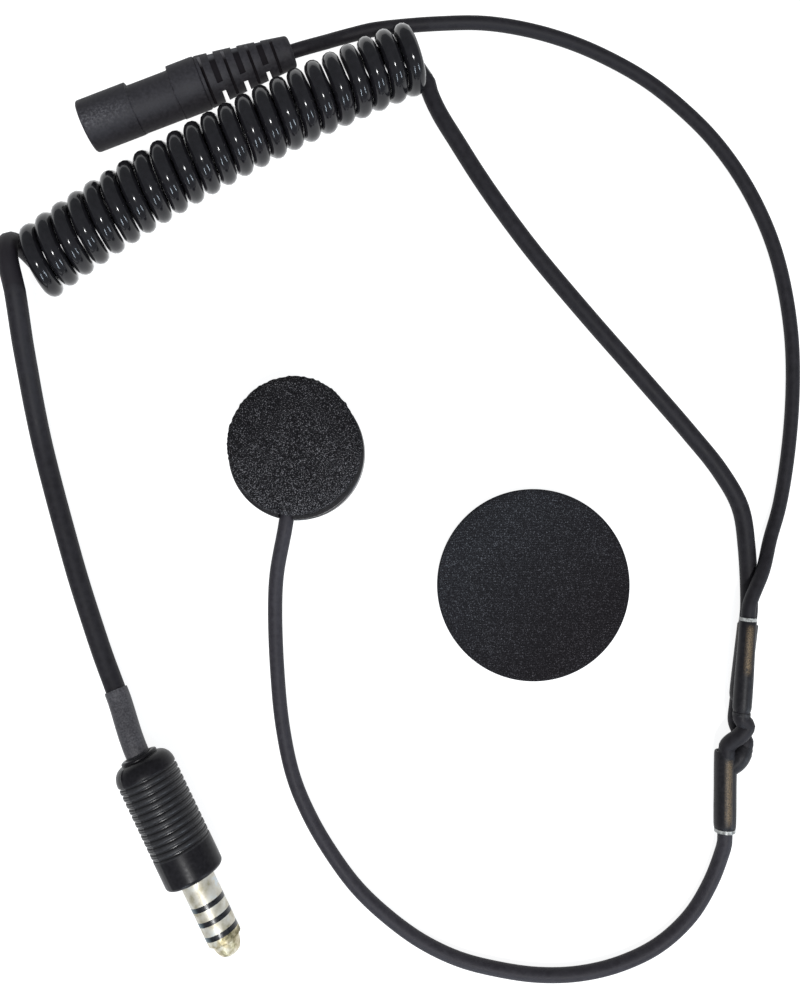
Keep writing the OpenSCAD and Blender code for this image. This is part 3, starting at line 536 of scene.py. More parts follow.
plug_lead_d = 0.00415
plug_lead_points = [
    (-55.6, 30.6, 10.3), (-55.5, 27.6, 9.4), (-55.5, 22.6, 7.5), (-55.5, 16.3, 4.6),
    (-55.3, 9.8, 2), (-54.4, 2.6, 0.4), (-52.4, -6.1, 0), (-49.8, -15.8, 0), (-46.9, -26, 0.1),
    (-44.2, -34.6, 0.1), (-41.4, -42.8, 0.3)]
plug_lead_route = (
    [coil_near_end, coil_near_end - 0.001 * coil_heading(coil_first)]
    + lying_line(plug_lead_points, plug_lead_d)
    + [boot_end + 0.003 * boot_heading, boot_end, boot_end - 0.002 * boot_heading])
plug_lead_line = smooth_line(plug_lead_route)
plug_lead = lay_cord("plug_cord", plug_lead_line, plug_lead_d)
satin_jacket = grained_finish("satin_jacket", (0.009, 0.009, 0.0105), 0.5, 700,
                              ((0.0135, 0.0122, 0.0148), (0.0215, 0.0198, 0.0235)),
                              (0.5, 0.64), 0.12, specular=0.2)
plug_lead.data.materials.append(satin_jacket)
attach(plug_lead, "plug_end")
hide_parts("plug_lead")


# Upper sleeve: shrink tube drawn over the socket's lead and the coil's lead, one on the other,
# with a web between them where it has shrunk tight
splice_lead_d = 0.0036
socket_lead_d = 0.00285
twist_d = 0.0034
upper_sleeve_place = (0.0940, -0.0350)
upper_sleeve_turn = -94.0
upper_sleeve_l = 0.0191
upper_sleeve_end = reach(upper_sleeve_place, upper_sleeve_turn, upper_sleeve_l)
low_lobe_turn = -96.8
low_lobe_r = 0.0021
low_lobe_l = 0.0150
low_lobe_start = 0.001
low_lobe_aside = 0.0013
low_lobe_place = (reach(upper_sleeve_place, upper_sleeve_turn, low_lobe_start)
                  + low_lobe_aside * side_of(upper_sleeve_turn))
top_lobe_z = 0.005425
top_lobe = turned("splice_sleeve_top", [
    (0.0003, 0.0015), (0, 0.0016), (0, 0.00171), (0.0001, 0.00175), (0.004, 0.00174),
    (0.0085, 0.00183), (0.012, 0.0019), (0.0155, 0.00192), (0.0178, 0.0019), (0.0184, 0.00183),
    (0.0189, 0.0017), (0.0191, 0.00164), (0.0191, 0.00155)], 48)
lay_down(top_lobe, upper_sleeve_place, upper_sleeve_turn, top_lobe_z)
low_lobe = turned("splice_sleeve_low", [
    (0.0002, 0.0018), (0, 0.0019), (0, 0.00205), (0.0001, 0.0021), (0.005, 0.0021), (0.010, 0.0021),
    (0.0135, 0.0021), (0.015, 0.00205), (0.0158, 0.0019), (0.0164, 0.0016), (0.0168, 0.0011),
    (0.017, 0.0005), (0.01702, 0.0001)], 48)
lay_down(low_lobe, low_lobe_place, low_lobe_turn, low_lobe_r)
web_start = 0.0012
web_l = 0.0145
web_z = 0.00385
web_d = 0.0026
web_line = [at_height(reach(upper_sleeve_place, upper_sleeve_turn, web_start + web_l * i / 8)
                      + Vector((0.0005 - 0.0002 * i / 8, 0)), web_z) for i in range(9)]
web = lay_cord("splice_sleeve_web", web_line, web_d)


def calculate(tree, operation, *values):
    """A math node on numbers and other nodes' outputs."""
    node = tree.nodes.new("ShaderNodeMath")
    node.operation = operation
    for socket, value in zip(node.inputs, values):
        if isinstance(value, (int, float)):
            socket.default_value = value
        else:
            tree.links.new(value, socket)
    return node.outputs[0]


def sleeve_with_painted_gleam(name, place, turn, height, start, end):
    """Black shrink tube with a painted highlight of fine golden brown specks along its ridge, from
    start to end.
    """
    finish, tree, shader = new_finish(name, (0.012, 0.012, 0.013), 0.45, specular=0.22)
    tint = grain(tree, shader, 1300, ((0.01, 0.0093, 0.0112), (0.018, 0.0168, 0.0195)),
                 (0.4, 0.52), 0.2)
    places = axis_space(tree, place, turn, height)
    along, across = split_places(tree, places)
    ridge_y = (0.001, 0.0001)
    ridge = spread(tree, calculate(tree, "ABSOLUTE", across), ridge_y)
    ends = calculate(tree, "MULTIPLY", spread(tree, along, (start, start + 0.001)),
                     spread(tree, along, (end, end - 0.002)))
    specks = spread(tree, noise_on(tree, places, 5200, 3, 0.8), (0.4, 0.62))
    # Painted highlight: golden brown specks on the tube's top line only, between the ends
    painted_gleam = calculate(tree, "MULTIPLY", calculate(tree, "MULTIPLY", ridge, ends), specks)
    tree.links.new(mixed(tree, painted_gleam, tint, (0.27, 0.19, 0.105)), shader.inputs["Base Color"])
    return finish


upper_finish = sleeve_with_painted_gleam("black_shrink_tube", upper_sleeve_place, upper_sleeve_turn, top_lobe_z,
                             0.0005, 0.0115)
for piece in (top_lobe, low_lobe):
    smooth_faces(piece)
for piece in (top_lobe, low_lobe, web):
    piece.data.materials.append(upper_finish)
    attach(piece, "set")
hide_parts("upper_sleeve")


# Lower sleeve: shrink tube over the joint of the earphone's lead, with a branch that swallows the
# second lead of the twisted pair
lower_sleeve_place = (0.0904, -0.0629)
lower_sleeve_turn = -90.5
lower_sleeve_l = 0.0164
lower_sleeve_r = 0.002325
lower_sleeve_end = reach(lower_sleeve_place, lower_sleeve_turn, lower_sleeve_l)
branch_place = (0.09445, -0.0619)
branch_turn = -98.0
lower_tube = turned("joint_sleeve", [
    (0.0003, 0.0017), (0, 0.0018), (0, 0.0021), (0.00015, 0.00222), (0.001, 0.0023),
    (0.004, 0.002325), (0.008, 0.0023), (0.012, 0.002325), (0.0154, 0.0023), (0.0161, 0.00224),
    (0.01635, 0.0021), (0.0164, 0.0019)], 48)
lay_down(lower_tube, lower_sleeve_place, lower_sleeve_turn, lower_sleeve_r)
smooth_faces(lower_tube)
branch_z = 0.0023
branch_d = 0.0044
branch_line = smooth_line(
    [at_height(branch_place, 0.00233)]
    + [Vector((x, y, branch_z)) for x, y in ((0.0938, -0.0632), (0.0932, -0.0644),
                                             (0.0924, -0.0653), (0.0912, -0.0661))], 0.0004)
branch_width = [0.84 + 0.16 * min(1, i / 5) for i in range(len(branch_line))]
branch = lay_cord("joint_sleeve_branch", branch_line, branch_d, branch_width)
lower_finish = sleeve_with_painted_gleam("joint_shrink_tube", lower_sleeve_place, lower_sleeve_turn,
                             lower_sleeve_r, 0.0012, 0.0158)
for piece in (lower_tube, branch):
    piece.data.materials.append(lower_finish)
    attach(piece, "set")
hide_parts("lower_sleeve")


# Set glue: rings of clear hot glue that has oozed out of the sleeves' ends and set cloudy. The ring
# between the two sleeves is coloured dark grey.
cloudy_glue = grained_finish("cloudy_glue", (0.62, 0.62, 0.58), 0.3, 1500,
                             ((0.2, 0.2, 0.19), (0.66, 0.66, 0.63)), (0.2, 0.45), 0.3)
grey_glue = grained_finish("grey_glue", (0.02, 0.02, 0.022), 0.55, 1500,
                           ((0.012, 0.0115, 0.013), (0.045, 0.044, 0.047)), (0.45, 0.65), 0.3,
                           specular=0.2)
refinish("upper_glue_ring", cloudy_glue)
refinish("lower_glue_ring", cloudy_glue)
refinish("middle_glue_ring", grey_glue)


# Twisted pair: two leads in satin PVC jackets. They are bare between the two sleeves, and cross
# over each other once.
low_lobe_end = reach(low_lobe_place, low_lobe_turn, low_lobe_l)
twist_a_route = (
    on_axis(upper_sleeve_end, upper_sleeve_turn, top_lobe_z, (-0.002, 0, 0.0013))
    + lying_line([(93.8, -56.9, 3.5), (92.7, -58.8, 3.3), (91, -60.7, 2.1)], twist_d)
    + on_axis(lower_sleeve_place, lower_sleeve_turn, 0.00315, (-0.001, 0))
    + on_axis(lower_sleeve_place, lower_sleeve_turn, 0.0027, (0.002,)))
twist_b_route = (
    on_axis(low_lobe_end, low_lobe_turn, twist_d / 2, (-0.001, 0.0025))
    + lying_line([(92.9, -56.9, 0), (93.9, -59.5, 0.1)], twist_d)
    + on_axis(branch_place, branch_turn, lower_sleeve_r, (-0.001, 0, 0.002)))
for name, node, route in (("twisted_lead_over", "twist_lead_a", twist_a_route),
                          ("twisted_lead_under", "twist_lead_b", twist_b_route)):
    twisted_lead = lay_cord(name, smooth_line(route, 0.0005), twist_d)
    twisted_lead.data.materials.append(satin_jacket)
    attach(twisted_lead, "set")
    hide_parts(node)


# Splice lead: the same four-core cord as the coil's, in a satin PVC jacket. It runs from the coil's
# last turn into the lower lobe of the upper sleeve.
splice_lead_points = [
    (27.8, 76.8, 0), (29.8, 72.4, 0), (33.3, 66.7, 0), (38.1, 59.1, 0), (43.5, 51.3, 0),
    (50.4, 42.2, 0), (61.6, 28.9, 0), (72.4, 16.6, 0), (82.8, 4.6, 0), (89.4, -3.6, 0),
    (93.7, -11.3, 0), (95.1, -20.1, 0)]
splice_lead_route = (
    [coil_far_end, coil_far_end + 0.0008 * coil_heading(coil_last)]
    + lying_line(splice_lead_points, splice_lead_d)
    + on_axis(low_lobe_place, low_lobe_turn, splice_lead_d / 2, (-0.003, 0, 0.003)))
splice_lead_line = smooth_line(splice_lead_route)
splice_lead = lay_cord("splice_cord", splice_lead_line, splice_lead_d)
splice_lead.data.materials.append(satin_jacket)
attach(splice_lead, "set")
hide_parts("splice_lead")


# In-line socket: one moulding of matte charcoal rubber over the socket's metal bush, with a front
# band, a middle cut back on one side for the thumb, and a rear band
socket_r = 0.005325
socket_place = (-0.0439, 0.0679)
socket_turn = 21.0
front_band_l = 0.0109
rear_band_x = 0.0200
relief_x = 0.0260
middle_r = 0.00497
shell_rings = [(0.0006, 0.0036), (0, 0.0037), (0, 0.0047), (0.00006, 0.00496), (0.0002, 0.00516),
               (0.00042, 0.00528), (0.0007, socket_r), (front_band_l - 0.0002, socket_r),
               (front_band_l - 0.00005, socket_r - 0.00006), (front_band_l, socket_r - 0.0002),
               (front_band_l + 0.0001, middle_r), (front_band_l + 0.00035, middle_r - 0.00008),
               (rear_band_x - 0.0003, middle_r - 0.00008), (rear_band_x - 0.00008, middle_r),
               (rear_band_x, socket_r - 0.0002), (rear_band_x + 0.00005, socket_r - 0.00006),
               (rear_band_x + 0.0002, socket_r), (relief_x - 0.0004, socket_r),
               (relief_x - 0.00012, socket_r - 0.0001), (relief_x, socket_r - 0.0003),
               (relief_x, 0.003)]
shell = turned("socket_moulding", shell_rings)
# The middle's axis is offset, so that its groove is deep on the side away from the coil
middle_offset = 0.00035
for vertex in shell.data.vertices:
    if front_band_l < vertex.co.z < rear_band_x:
        vertex.co.y -= middle_offset
lay_down(shell, socket_place, socket_turn, socket_r)
smooth_faces(shell, 35)
rubber_finish, tree, shader = new_finish("matte_charcoal_rubber", (0.03, 0.028, 0.032), 0.65,
                                         specular=0.35)
tint = grain(tree, shader, 1700, ((0.018, 0.0165, 0.02), (0.037, 0.0345, 0.04)), (0.55, 0.75), 0.3,
             0.00006)
# The front band's ridge is scuffed to a paler, finely scratched patch
scuff_y = 0.001
scuff_r = 0.0026
scuff_x = (front_band_l + 0.002, front_band_l - 0.006)
places = axis_space(tree, socket_place, socket_turn, socket_r)
specks = spread(tree, noise_on(tree, places, 1900, 4, 0.7), (0.45, 0.75))
along, across = split_places(tree, places)
scuff_off = calculate(tree, "ABSOLUTE", calculate(tree, "ADD", across, scuff_y))
scuff_share = calculate(tree, "MULTIPLY", spread(tree, scuff_off, (scuff_r, 0)),
                        spread(tree, along, scuff_x))
scuffed = calculate(tree, "MULTIPLY", scuff_share, specks)
tree.links.new(mixed(tree, scuffed, tint, (0.16, 0.155, 0.165)), shader.inputs["Base Color"])
shell.data.materials.append(rubber_finish)
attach(shell, "set")
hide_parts("socket_shell")


# Socket relief: a tapered sleeve of the same rubber that bends with the lead. Thin and wide slots
# are cut into it in turn, down to a core. It sags a little towards the coil.
relief_l = 0.0197
relief_sag = 0.0006
relief_r = 0.0052
relief_end_r = 0.00325
relief_taper = 0.00195
relief_start = 0.0003
relief_round = 0.0008
taper_l = relief_l - 0.0011
relief_rings = [(0.0002, 0.0042), (0, 0.0044), (0, 0.00505), (0.0001, 0.00515),
                (relief_start, relief_r)]
for i in range(1, 9):
    s = i / 8
    relief_rings.append((relief_start + s * taper_l, relief_r - relief_taper * s))
for i in range(1, 8):
    a = math.radians(12.86 * i)
    relief_rings.append((relief_l - relief_round * (1 - math.sin(a)),
                         relief_end_r - relief_round * (1 - math.cos(a))))
relief_rings += [(relief_l, 0.0017), (relief_l - 0.0004, 0.0016)]
relief = turned("socket_slotted_relief", relief_rings)
# The slots are painted dark as painted shade, and a paler grey near the upper edge as painted light
# on the lit core
slot_painted_shade_finish, tree, shader = new_finish("shaded_slot_rubber", (0.006, 0.0055, 0.0065), 0.8,
                                       specular=0.1)
relief_place = reach(socket_place, socket_turn, relief_x)
across = split_places(tree, axis_space(tree, relief_place, socket_turn, socket_r))[1]
painted_lit_y = (0.0014, 0.0026)
painted_lit_share = spread(tree, across, painted_lit_y)
tree.links.new(mixed(tree, painted_lit_share, (0.011, 0.0092, 0.0112), (0.14, 0.138, 0.148)),
               shader.inputs["Base Color"])
relief.data.materials.append(rubber_finish)
relief.data.materials.append(slot_painted_shade_finish)


def joined(pieces):
    select_only(pieces[0])
    for piece in pieces:
        piece.select_set(True)
    bpy.ops.object.join()
    return pieces[0]


def cut_away(piece, cutter):
    select_only(piece)
    cut = piece.modifiers.new("cut", "BOOLEAN")
    cut.operation = "DIFFERENCE"
    cut.object = cutter
    bpy.ops.object.modifier_apply(modifier="cut")
    bpy.data.objects.remove(cutter, do_unlink=True)


# Each cut: its turn round the axis, its floor as a share of the radius, and its length
upper_cut = (60, 0.36, 0.00125)
lower_notch = (211, 0.5, 0.0009)
thin_cuts = ((117, 0.4, 0.0006), (-63, 0.4, 0.0006))
first_slot_x = 0.001
slot_pitch = 0.0025
cutter_depth = 0.006
cutter_w = 0.014
upper_cutters, cutters = [], []
for k in range(7):
    slot_x = first_slot_x + slot_pitch * k
    radius = relief_r - relief_taper * (slot_x - relief_start) / taper_l
    for cut in (upper_cut, lower_notch) if k % 2 else thin_cuts:
        turn, floor, slot_l = cut
        bpy.ops.object.select_all(action="DESELECT")
        bpy.ops.mesh.primitive_cube_add(size=1, location=(floor * radius + cutter_depth / 2, 0, 0))
        cutter = bpy.context.active_object
        cutter.scale = (cutter_depth, cutter_w, slot_l)
        apply_place()
        cutter.rotation_euler = (0, 0, math.radians(90 + turn))
        cutter.location = (0, 0, slot_x)
        apply_place()
        (upper_cutters if cut is upper_cut else cutters).append(cutter)
upper_cutter = joined(upper_cutters)
# The core that the upper cuts leave, a little inside the outline
core_share = 0.93
bpy.ops.object.select_all(action="DESELECT")
bpy.ops.mesh.primitive_cone_add(vertices=64, radius1=core_share * relief_r,
                                radius2=core_share * relief_end_r, depth=relief_l,
                                location=(0, 0, relief_l / 2))
core = bpy.context.active_object
apply_place()
cut_away(upper_cutter, core)
cutter = joined([upper_cutter] + cutters)
cutter.data.materials.clear()
cutter.data.materials.append(rubber_finish)
cutter.data.materials.append(slot_painted_shade_finish)
# The cut faces take the slots' painted shade
for face in cutter.data.polygons:
    face.material_index = 1
cut_away(relief, cutter)
round_off = relief.modifiers.new("soft_edges", "BEVEL")
round_off.width = 0.00008
round_off.segments = 2
round_off.limit_method = "ANGLE"
round_off.angle_limit = math.radians(50)
bpy.ops.object.modifier_apply(modifier="soft_edges")
for vertex in relief.data.vertices:
    vertex.co.y -= relief_sag * (vertex.co.z / relief_l) ** 2
lay_down(relief, relief_place, socket_turn, socket_r)
smooth_faces(relief, 30)
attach(relief, "set")
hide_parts("socket_relief")


# Inside the socket: a nickel bush for the microphone plug's sleeve, and two brass leaf springs
# whose roots are held in slots of a cream insulating block
bright_nickel, tree, shader = new_finish("bright_nickel", (0.66, 0.64, 0.6), 0.2, 1.0)
wear(tree, shader, 500, ((0.3, (0.55, 0.52, 0.46)), (0.7, (0.7, 0.69, 0.66))))
refinish("socket_bush", bright_nickel)
spring_brass, tree, shader = new_finish("spring_brass", (0.7, 0.52, 0.22), 0.25, 1.0)
wear(tree, shader, 900, ((0.3, (0.6, 0.42, 0.16)), (0.7, (0.78, 0.62, 0.3))))
refinish("tip_spring", spring_brass)
refinish("ring_spring", spring_brass)
refinish("contact_block", grained_finish(
    "cream_block", (0.6, 0.55, 0.42), 0.5, 1200,
    ((0.55, 0.5, 0.38), (0.66, 0.61, 0.48)), (0.4, 0.6), 0.1))


# Socket lead: a thinner two-core cord from the in-line socket, over the coil's turns and round the
# outside of the set to the splice
socket_lead_points = [
    (6.2, 87.1, 1.4), (8, 88.1, 0.5), (11.7, 89.3, 0.1), (15.1, 90.2, 0), (20.4, 90.9, 0),
    (29.6, 91.6, 0), (39.3, 91.7, 0), (49, 90.2, 0), (58.4, 87.4, 0), (66.7, 83.7, 0),
    (74.4, 79.2, 0), (81.3, 73.7, 0), (87.6, 67.5, 0), (92.9, 60.6, 0), (97.3, 53, 0),
    (100.8, 44.7, 0), (103.2, 35.7, 0), (104.8, 24.5, 0), (105, 12.8, 0), (104, 0.1, 0),
    (102.2, -11, 0), (99.9, -18.2, 0.7), (97.5, -24.5, 3)]
socket_lead_route = (
    [at_height(reach(socket_place, socket_turn, relief_x + l)
               - relief_sag * (l / relief_l) ** 2 * side_of(socket_turn), socket_r)
     for l in (0.001, relief_l - 0.004, relief_l, relief_l + 0.002)]
    + lying_line(socket_lead_points, socket_lead_d)
    + on_axis(upper_sleeve_place, upper_sleeve_turn, top_lobe_z, (-0.003, 0, 0.003)))
socket_lead_line = smooth_line(socket_lead_route)
socket_lead = lay_cord("socket_cord", socket_lead_line, socket_lead_d)
socket_lead.data.materials.append(satin_jacket)
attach(socket_lead, "set")
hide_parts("socket_lead")


# Earphone cup: moulded in black plastic with a fine matte grain, with a perforated grille let into
# its top and a hook fastener on its back
cup_finish = grained_finish("black_cup_plastic", (0.008, 0.0075, 0.009), 0.35, 2000,
                            ((0.006, 0.0055, 0.0068), (0.013, 0.012, 0.014)), (0.28, 0.4), 0.2,
                            0.00004, specular=0.3)
for node in ("capsule_cup", "capsule_grille", "basket_ring"):
    refinish(node, cup_finish)
hook_finish, tree, shader = new_finish("black_hook_tape", (0.015, 0.015, 0.016), 0.6)
hook_rows = tree.nodes.new("ShaderNodeTexVoronoi")
hook_rows.inputs["Scale"].default_value = 900
tree.links.new(object_places(tree), hook_rows.inputs["Vector"])
add_relief(tree, shader, hook_rows.outputs["Distance"], 0.8, 0.0004)
tree.links.new(tinted(tree, hook_rows.outputs["Distance"],
                      ((0, (0.03, 0.03, 0.031)), (1, (0.008, 0.008, 0.009)))),
               shader.inputs["Base Color"])
refinish("hook_disc", hook_finish)


# Foam pad: a hand-cut disc of black open-cell foam glued over the cup, thicker in its middle and
# uneven at its edge. It is finely speckled pale grey, with more specks towards -Y.
foam_middle = (-0.0004, 0.0012, 0.0074)
foam_radii = (14.1, 13.85, 13.75, 13.95, 14.25, 14.45, 14.5, 14.35, 14.25, 14.0, 13.8, 13.8,
              13.65, 13.6, 13.85, 13.95, 14.1, 14.2, 14.2, 14.2, 14.05, 13.9, 14.0, 14.05)
foam_sectors = len(foam_radii)
foam_t = 0.0023
foam_crown = 0.0006
bpy.ops.object.select_all(action="DESELECT")
bpy.ops.mesh.primitive_circle_add(vertices=288, radius=1, fill_type="NOTHING")
foam = bpy.context.active_object
foam.name = "foam_face_pad"
bpy.ops.object.mode_set(mode="EDIT")
bpy.ops.mesh.select_all(action="SELECT")
foam_rings = [(0.9, 0), (0.985, 0.06), (1.0, 0.3), (1.0, 0.6), (0.985, 0.82), (0.955, 0.95),
              (0.91, 1.0)] + [(0.91 - 0.05 * i, 1.0) for i in range(1, 18)]
wide_now, high_now = foam_rings[0]
bpy.ops.transform.resize(value=(wide_now, wide_now, 1))
for wide, high in foam_rings[1:]:
    bpy.ops.mesh.extrude_region_move(TRANSFORM_OT_translate={"value": (0, 0, high - high_now)})
    bpy.ops.transform.resize(value=(wide / wide_now, wide / wide_now, 1))
    wide_now, high_now = wide, high
bpy.ops.mesh.edge_face_add()
bpy.ops.mesh.select_all(action="SELECT")
bpy.ops.mesh.remove_doubles(threshold=0.0001)
bpy.ops.object.mode_set(mode="OBJECT")
# The edge is wavy where it was cut by hand, and the face has shallow dents
rng = np.random.default_rng(11)
waves = [(k, rng.normal(0, 0.0012), rng.uniform(0, 2 * math.pi)) for k in range(17, 90, 3)]
dents = [(rng.uniform(-0.8, 0.8), rng.uniform(-0.8, 0.8), rng.uniform(0.15, 0.4),
          rng.normal(0, 0.00006)) for _ in range(26)]
for vertex in foam.data.vertices:
    x, y, z = vertex.co
    angle = math.atan2(y, x)
    turn, part = divmod(math.degrees(angle) % 360 / (360 / foam_sectors), 1)
    part = part * part * (3 - 2 * part)
    radius = (foam_radii[int(turn) % foam_sectors] * (1 - part)
              + foam_radii[(int(turn) + 1) % foam_sectors] * part) / 1000
    radius *= 1 + sum(size * math.cos(k * angle + phase) for k, size, phase in waves)
    lift = foam_crown * (1 - min(1, math.hypot(x, y)) ** 4)
    uneven = sum(size * math.exp(-((x - dx) ** 2 + (y - dy) ** 2) / (wide * wide))
                 for dx, dy, wide, size in dents)
    vertex.co = (x * radius, y * radius, z * (foam_t - foam_crown + lift + uneven))
bpy.ops.object.mode_set(mode="EDIT")
bpy.ops.mesh.select_all(action="SELECT")
bpy.ops.mesh.normals_make_consistent(inside=False)
bpy.ops.object.mode_set(mode="OBJECT")
select_only(foam)
foam.location = foam_middle
apply_place()
bpy.ops.object.shade_smooth()


def speckled(tree, shader, scale, tones, pale, cover, lean=None):
    """Dark cells with fine pale specks; cover is the share without specks, lean its change on Y."""
    where = object_places(tree)
    noise = noise_on(tree, where, scale, 2, 0.6)
    height = calculate(tree, "MULTIPLY_ADD", noise_on(tree, where, 90, 2), 0.06, noise)
    if lean is not None:
        height = calculate(tree, "MULTIPLY_ADD", split_places(tree, where)[1], lean, height)
    tint = tinted(tree, height, ((0.4, tones[0]), (cover, tones[1]), (cover + 0.09, pale)))
    tree.links.new(tint, shader.inputs["Base Color"])
    add_relief(tree, shader, noise, 0.6, 0.00015)
    return tint


foam_finish, tree, shader = new_finish("black_open_foam", (0.008, 0.008, 0.0095), 0.9,
                                       specular=0.15)
speckled(tree, shader, 4700, ((0.0032, 0.0029, 0.0035), (0.0125, 0.0117, 0.0135)),
         (0.2, 0.195, 0.205), 0.6, lean=-1.5)
foam.data.materials.append(foam_finish)
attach(foam, "set")
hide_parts("foam_pad")


# Earphone driver, hidden under the grille: a plated steel yoke with a sintered magnet and a pole
# plate, a copper voice coil on an amber film diaphragm, and the green terminal board that the lead
# is soldered to
plated_steel, tree, shader = new_finish("plated_steel", (0.6, 0.6, 0.62), 0.3, 1.0)
wear(tree, shader, 600, ((0.3, (0.52, 0.52, 0.54)), (0.7, (0.66, 0.66, 0.68))))
refinish("magnet_yoke", plated_steel)
refinish("pole_plate", plated_steel)
refinish("magnet", grained_finish(
    "sintered_magnet", (0.07, 0.07, 0.08), 0.6, 2500,
    ((0.05, 0.05, 0.055), (0.1, 0.1, 0.11)), (0.5, 0.7), 0.4))
copper, tree, shader = new_finish("enamelled_copper", (0.55, 0.24, 0.1), 0.3, 1.0)
add_relief(tree, shader, bands_on(tree, object_places(tree), "Z", 2500), 1, 0.00005)
refinish("voice_coil", copper)
refinish("diaphragm", grained_finish(
    "amber_film", (0.5, 0.36, 0.12), 0.2, 800,
    ((0.45, 0.32, 0.1), (0.56, 0.42, 0.16)), (0.15, 0.3), 0.05))
refinish("terminal_board", grained_finish(
    "green_board", (0.02, 0.1, 0.04), 0.4, 700,
    ((0.015, 0.08, 0.03), (0.03, 0.13, 0.05)), (0.3, 0.5), 0.1))
refinish("cable_grommet", grained_finish(
    "grommet_rubber", (0.015, 0.015, 0.017), 0.6, 1400,
    ((0.011, 0.011, 0.013), (0.022, 0.022, 0.024)), (0.5, 0.7), 0.2))


# Earphone lead: a thin two-core cord in a satin PVC jacket, a little paler than the others. It runs
# from the splice's lower sleeve round to the notch in the cup.
earphone_lead_d = 0.0031
notch_turn = -99.0
lead_stop = 0.0131
earphone_lead_z = 0.005575
earphone_lead_points = [
    (89.7, -85.2, 0.2), (87.5, -91.1, 0), (83.2, -98.2, 0), (76.5, -104.4, 0), (68.4, -108.4, 0),
    (59.7, -110.5, 0), (51, -110.8, 0), (42.3, -109.6, 0), (33.9, -107.4, 0), (26, -103.6, 0),
    (18.7, -98.3, 0), (12.3, -92.2, 0), (6.8, -84.8, 0), (2.3, -77.1, 0), (-1.2, -68.7, 0),
    (-3.5, -58, 0), (-4.7, -45.4, 0), (-5.1, -32.8, 0.1), (-4.6, -25.5, 1.2)]
earphone_lead_route = (
    on_axis(lower_sleeve_end, lower_sleeve_turn, lower_sleeve_r, (-0.003, 0, 0.003))
    + lying_line(earphone_lead_points, earphone_lead_d)
    + on_axis((0, 0), notch_turn, earphone_lead_z, (lead_stop + 0.003, lead_stop)))
earphone_lead_line = smooth_line(earphone_lead_route)
earphone_lead = lay_cord("earphone_cord", earphone_lead_line, earphone_lead_d)
earphone_lead.data.materials.append(grained_finish(
    "earphone_jacket", (0.035, 0.032, 0.038), 0.55, 900,
    ((0.027, 0.0245, 0.03), (0.041, 0.038, 0.045)), (0.5, 0.64), 0.12, specular=0.2))
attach(earphone_lead, "set")
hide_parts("earphone_lead")


# Loose disc: a round die-cut from black foam with a knitted loop face, and an adhesive film on its
# back. The loop face grips the hooks on the earphone's back.
disc_place = (0.0498, -0.0279)
disc_r = 0.02045
disc_foam_rings = [(0.0003, 0.0199), (0.00034, 0.02025), (0.0005, 0.02042), (0.0008, disc_r),
                   (0.0013, disc_r), (0.0016, 0.02042), (0.00168, 0.0203), (0.0017, 0.0199)]
disc_foam = turned("disc_foam_core", disc_foam_rings, 160)
select_only(disc_foam)
disc_foam.location = (*disc_place, 0)
apply_place()
smooth_faces(disc_foam)
disc_foam.data.materials.append(foam_finish)
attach(disc_foam, "set")
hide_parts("disc_foam")

disc_t = 0.0024
disc_face = turned("disc_loop_face", [
    (0.0017, 0.0199), (0.00172, 0.0203), (0.0019, disc_r - 0.00003), (0.00212, disc_r - 0.0001),
    (0.00228, disc_r - 0.0003), (0.00236, disc_r - 0.0007), (disc_t, disc_r - 0.0014),
    (disc_t, 0.017), (disc_t, 0.012), (disc_t, 0.006), (disc_t, 0.001)], 160)
select_only(disc_face)
disc_face.location = (*disc_place, 0)
apply_place()
smooth_faces(disc_face)
knit, tree, shader = new_finish("black_loop_knit", (0.01, 0.01, 0.012), 0.9, specular=0.12)
tint = speckled(tree, shader, 5200, ((0.009, 0.0082, 0.009), (0.0195, 0.0183, 0.0198)),
                (0.12, 0.12, 0.125), 0.628)
places = object_places(tree)
# Painted sheen: the disc is painted bluer and paler towards one side, for the light on its leaning
# pile
along, across = split_places(tree, places)
sheen_middle = disc_place[1] - disc_place[0]
painted_sheen_share = spread(tree, calculate(tree, "SUBTRACT", across, along),
                   (sheen_middle - disc_r, sheen_middle + disc_r))
painted_sheen_tint = tinted(tree, painted_sheen_share, ((0, (0.82, 0.76, 0.8)), (1, (1.25, 1.33, 1.42))))
rows = spread(tree, bands_on(tree, places, "Y", 620, 4, 3), (0, 1), (0.8, 1.1))
knit_colour = tree.nodes.new("ShaderNodeVectorMath")
knit_colour.operation = "MULTIPLY"
tree.links.new(tint, knit_colour.inputs[0])
tree.links.new(shaded(tree, painted_sheen_tint, rows), knit_colour.inputs[1])
tree.links.new(knit_colour.outputs["Vector"], shader.inputs["Base Color"])
disc_face.data.materials.append(knit)
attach(disc_face, "set")
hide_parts("disc_fabric")

refinish("disc_adhesive", grained_finish(
    "white_adhesive_film", (0.75, 0.75, 0.73), 0.35, 300,
    ((0.7, 0.7, 0.68), (0.8, 0.8, 0.78)), (0.3, 0.45), 0.05))


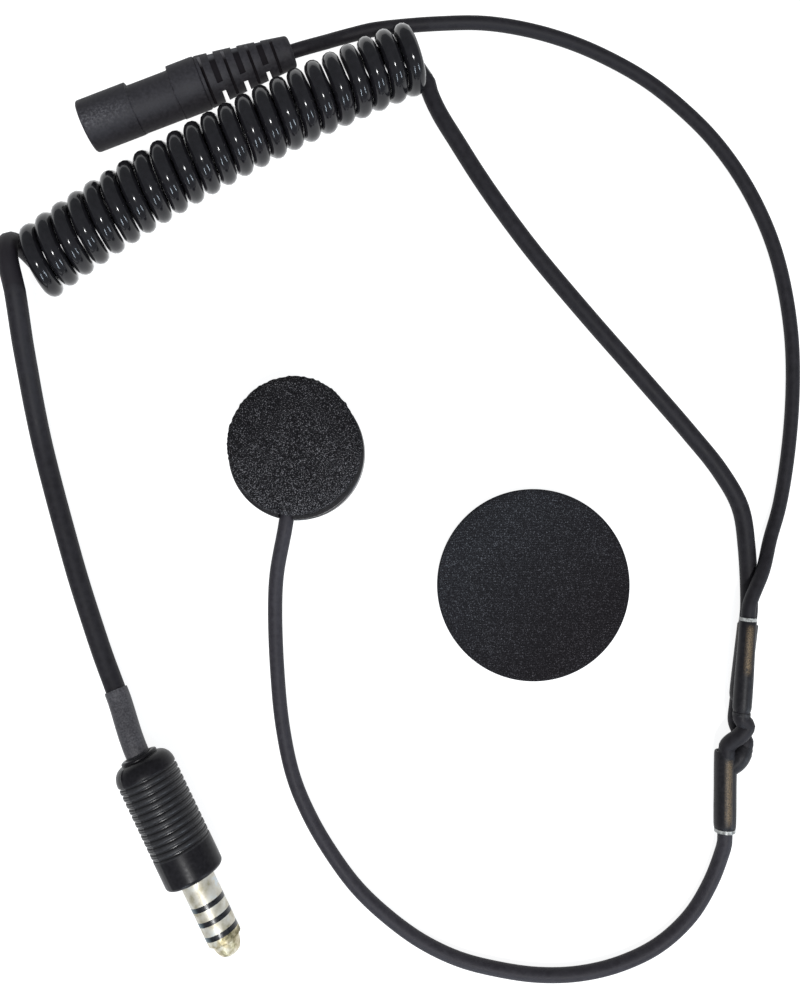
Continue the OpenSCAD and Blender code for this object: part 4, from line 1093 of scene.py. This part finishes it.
# Table and light: a white table top under soft studio light, with a small lamp overhead and two
# cool strip lamps low on the viewer's side
bpy.ops.object.select_all(action="DESELECT")
bpy.ops.mesh.primitive_plane_add(size=6, location=(0, 0, 0))
table_top = bpy.context.active_object
table_top.name = "table_top"
# The table shows and reflects brighter than it lights the set from below
table_finish, tree, shader = new_finish("white_table", (0.42, 0.42, 0.42), 0.6, specular=0.1)
rays = tree.nodes.new("ShaderNodeLightPath")
seen = calculate(tree, "MAXIMUM", rays.outputs["Is Camera Ray"], rays.outputs["Is Glossy Ray"])
glow = tree.nodes.new("ShaderNodeEmission")
tree.links.new(calculate(tree, "MULTIPLY", seen, 0.88), glow.inputs["Strength"])
both = tree.nodes.new("ShaderNodeAddShader")
tree.links.new(shader.outputs[0], both.inputs[0])
tree.links.new(glow.outputs[0], both.inputs[1])
tree.links.new(both.outputs[0], tree.nodes["Material Output"].inputs["Surface"])
table_top.data.materials.append(table_finish)

world = bpy.data.worlds.new("studio")
bpy.context.scene.world = world
world.use_nodes = True
world.node_tree.nodes["Background"].inputs["Color"].default_value = (0.8, 0.85, 0.9, 1)
world.node_tree.nodes["Background"].inputs["Strength"].default_value = 0.42


def add_lamp(name, place, size, power, colour):
    """A rectangular lamp that points at the middle of the set."""
    lamp_data = bpy.data.lights.new(name, "AREA")
    lamp_data.shape = "RECTANGLE"
    lamp_data.size, lamp_data.size_y = size
    lamp_data.energy = power
    lamp_data.color = colour
    lamp = bpy.data.objects.new(name, lamp_data)
    lamp.location = place
    aim = Vector((0.02, 0, 0)) - Vector(place)
    lamp.rotation_euler = aim.to_track_quat("-Z", "Y").to_euler()
    bpy.context.scene.collection.objects.link(lamp)


add_lamp("key_lamp", (0.12, -0.4, 1.05), (0.14, 0.14), 7, (1, 1, 1))
for name, place in (("left_strip", (-0.05, -1.1, 0.5)), ("right_strip", (1.0, -0.6, 0.5))):
    add_lamp(name, place, (0.08, 0.45), 4, (0.75, 0.87, 1))

bpy.context.scene.view_settings.view_transform = "Standard"
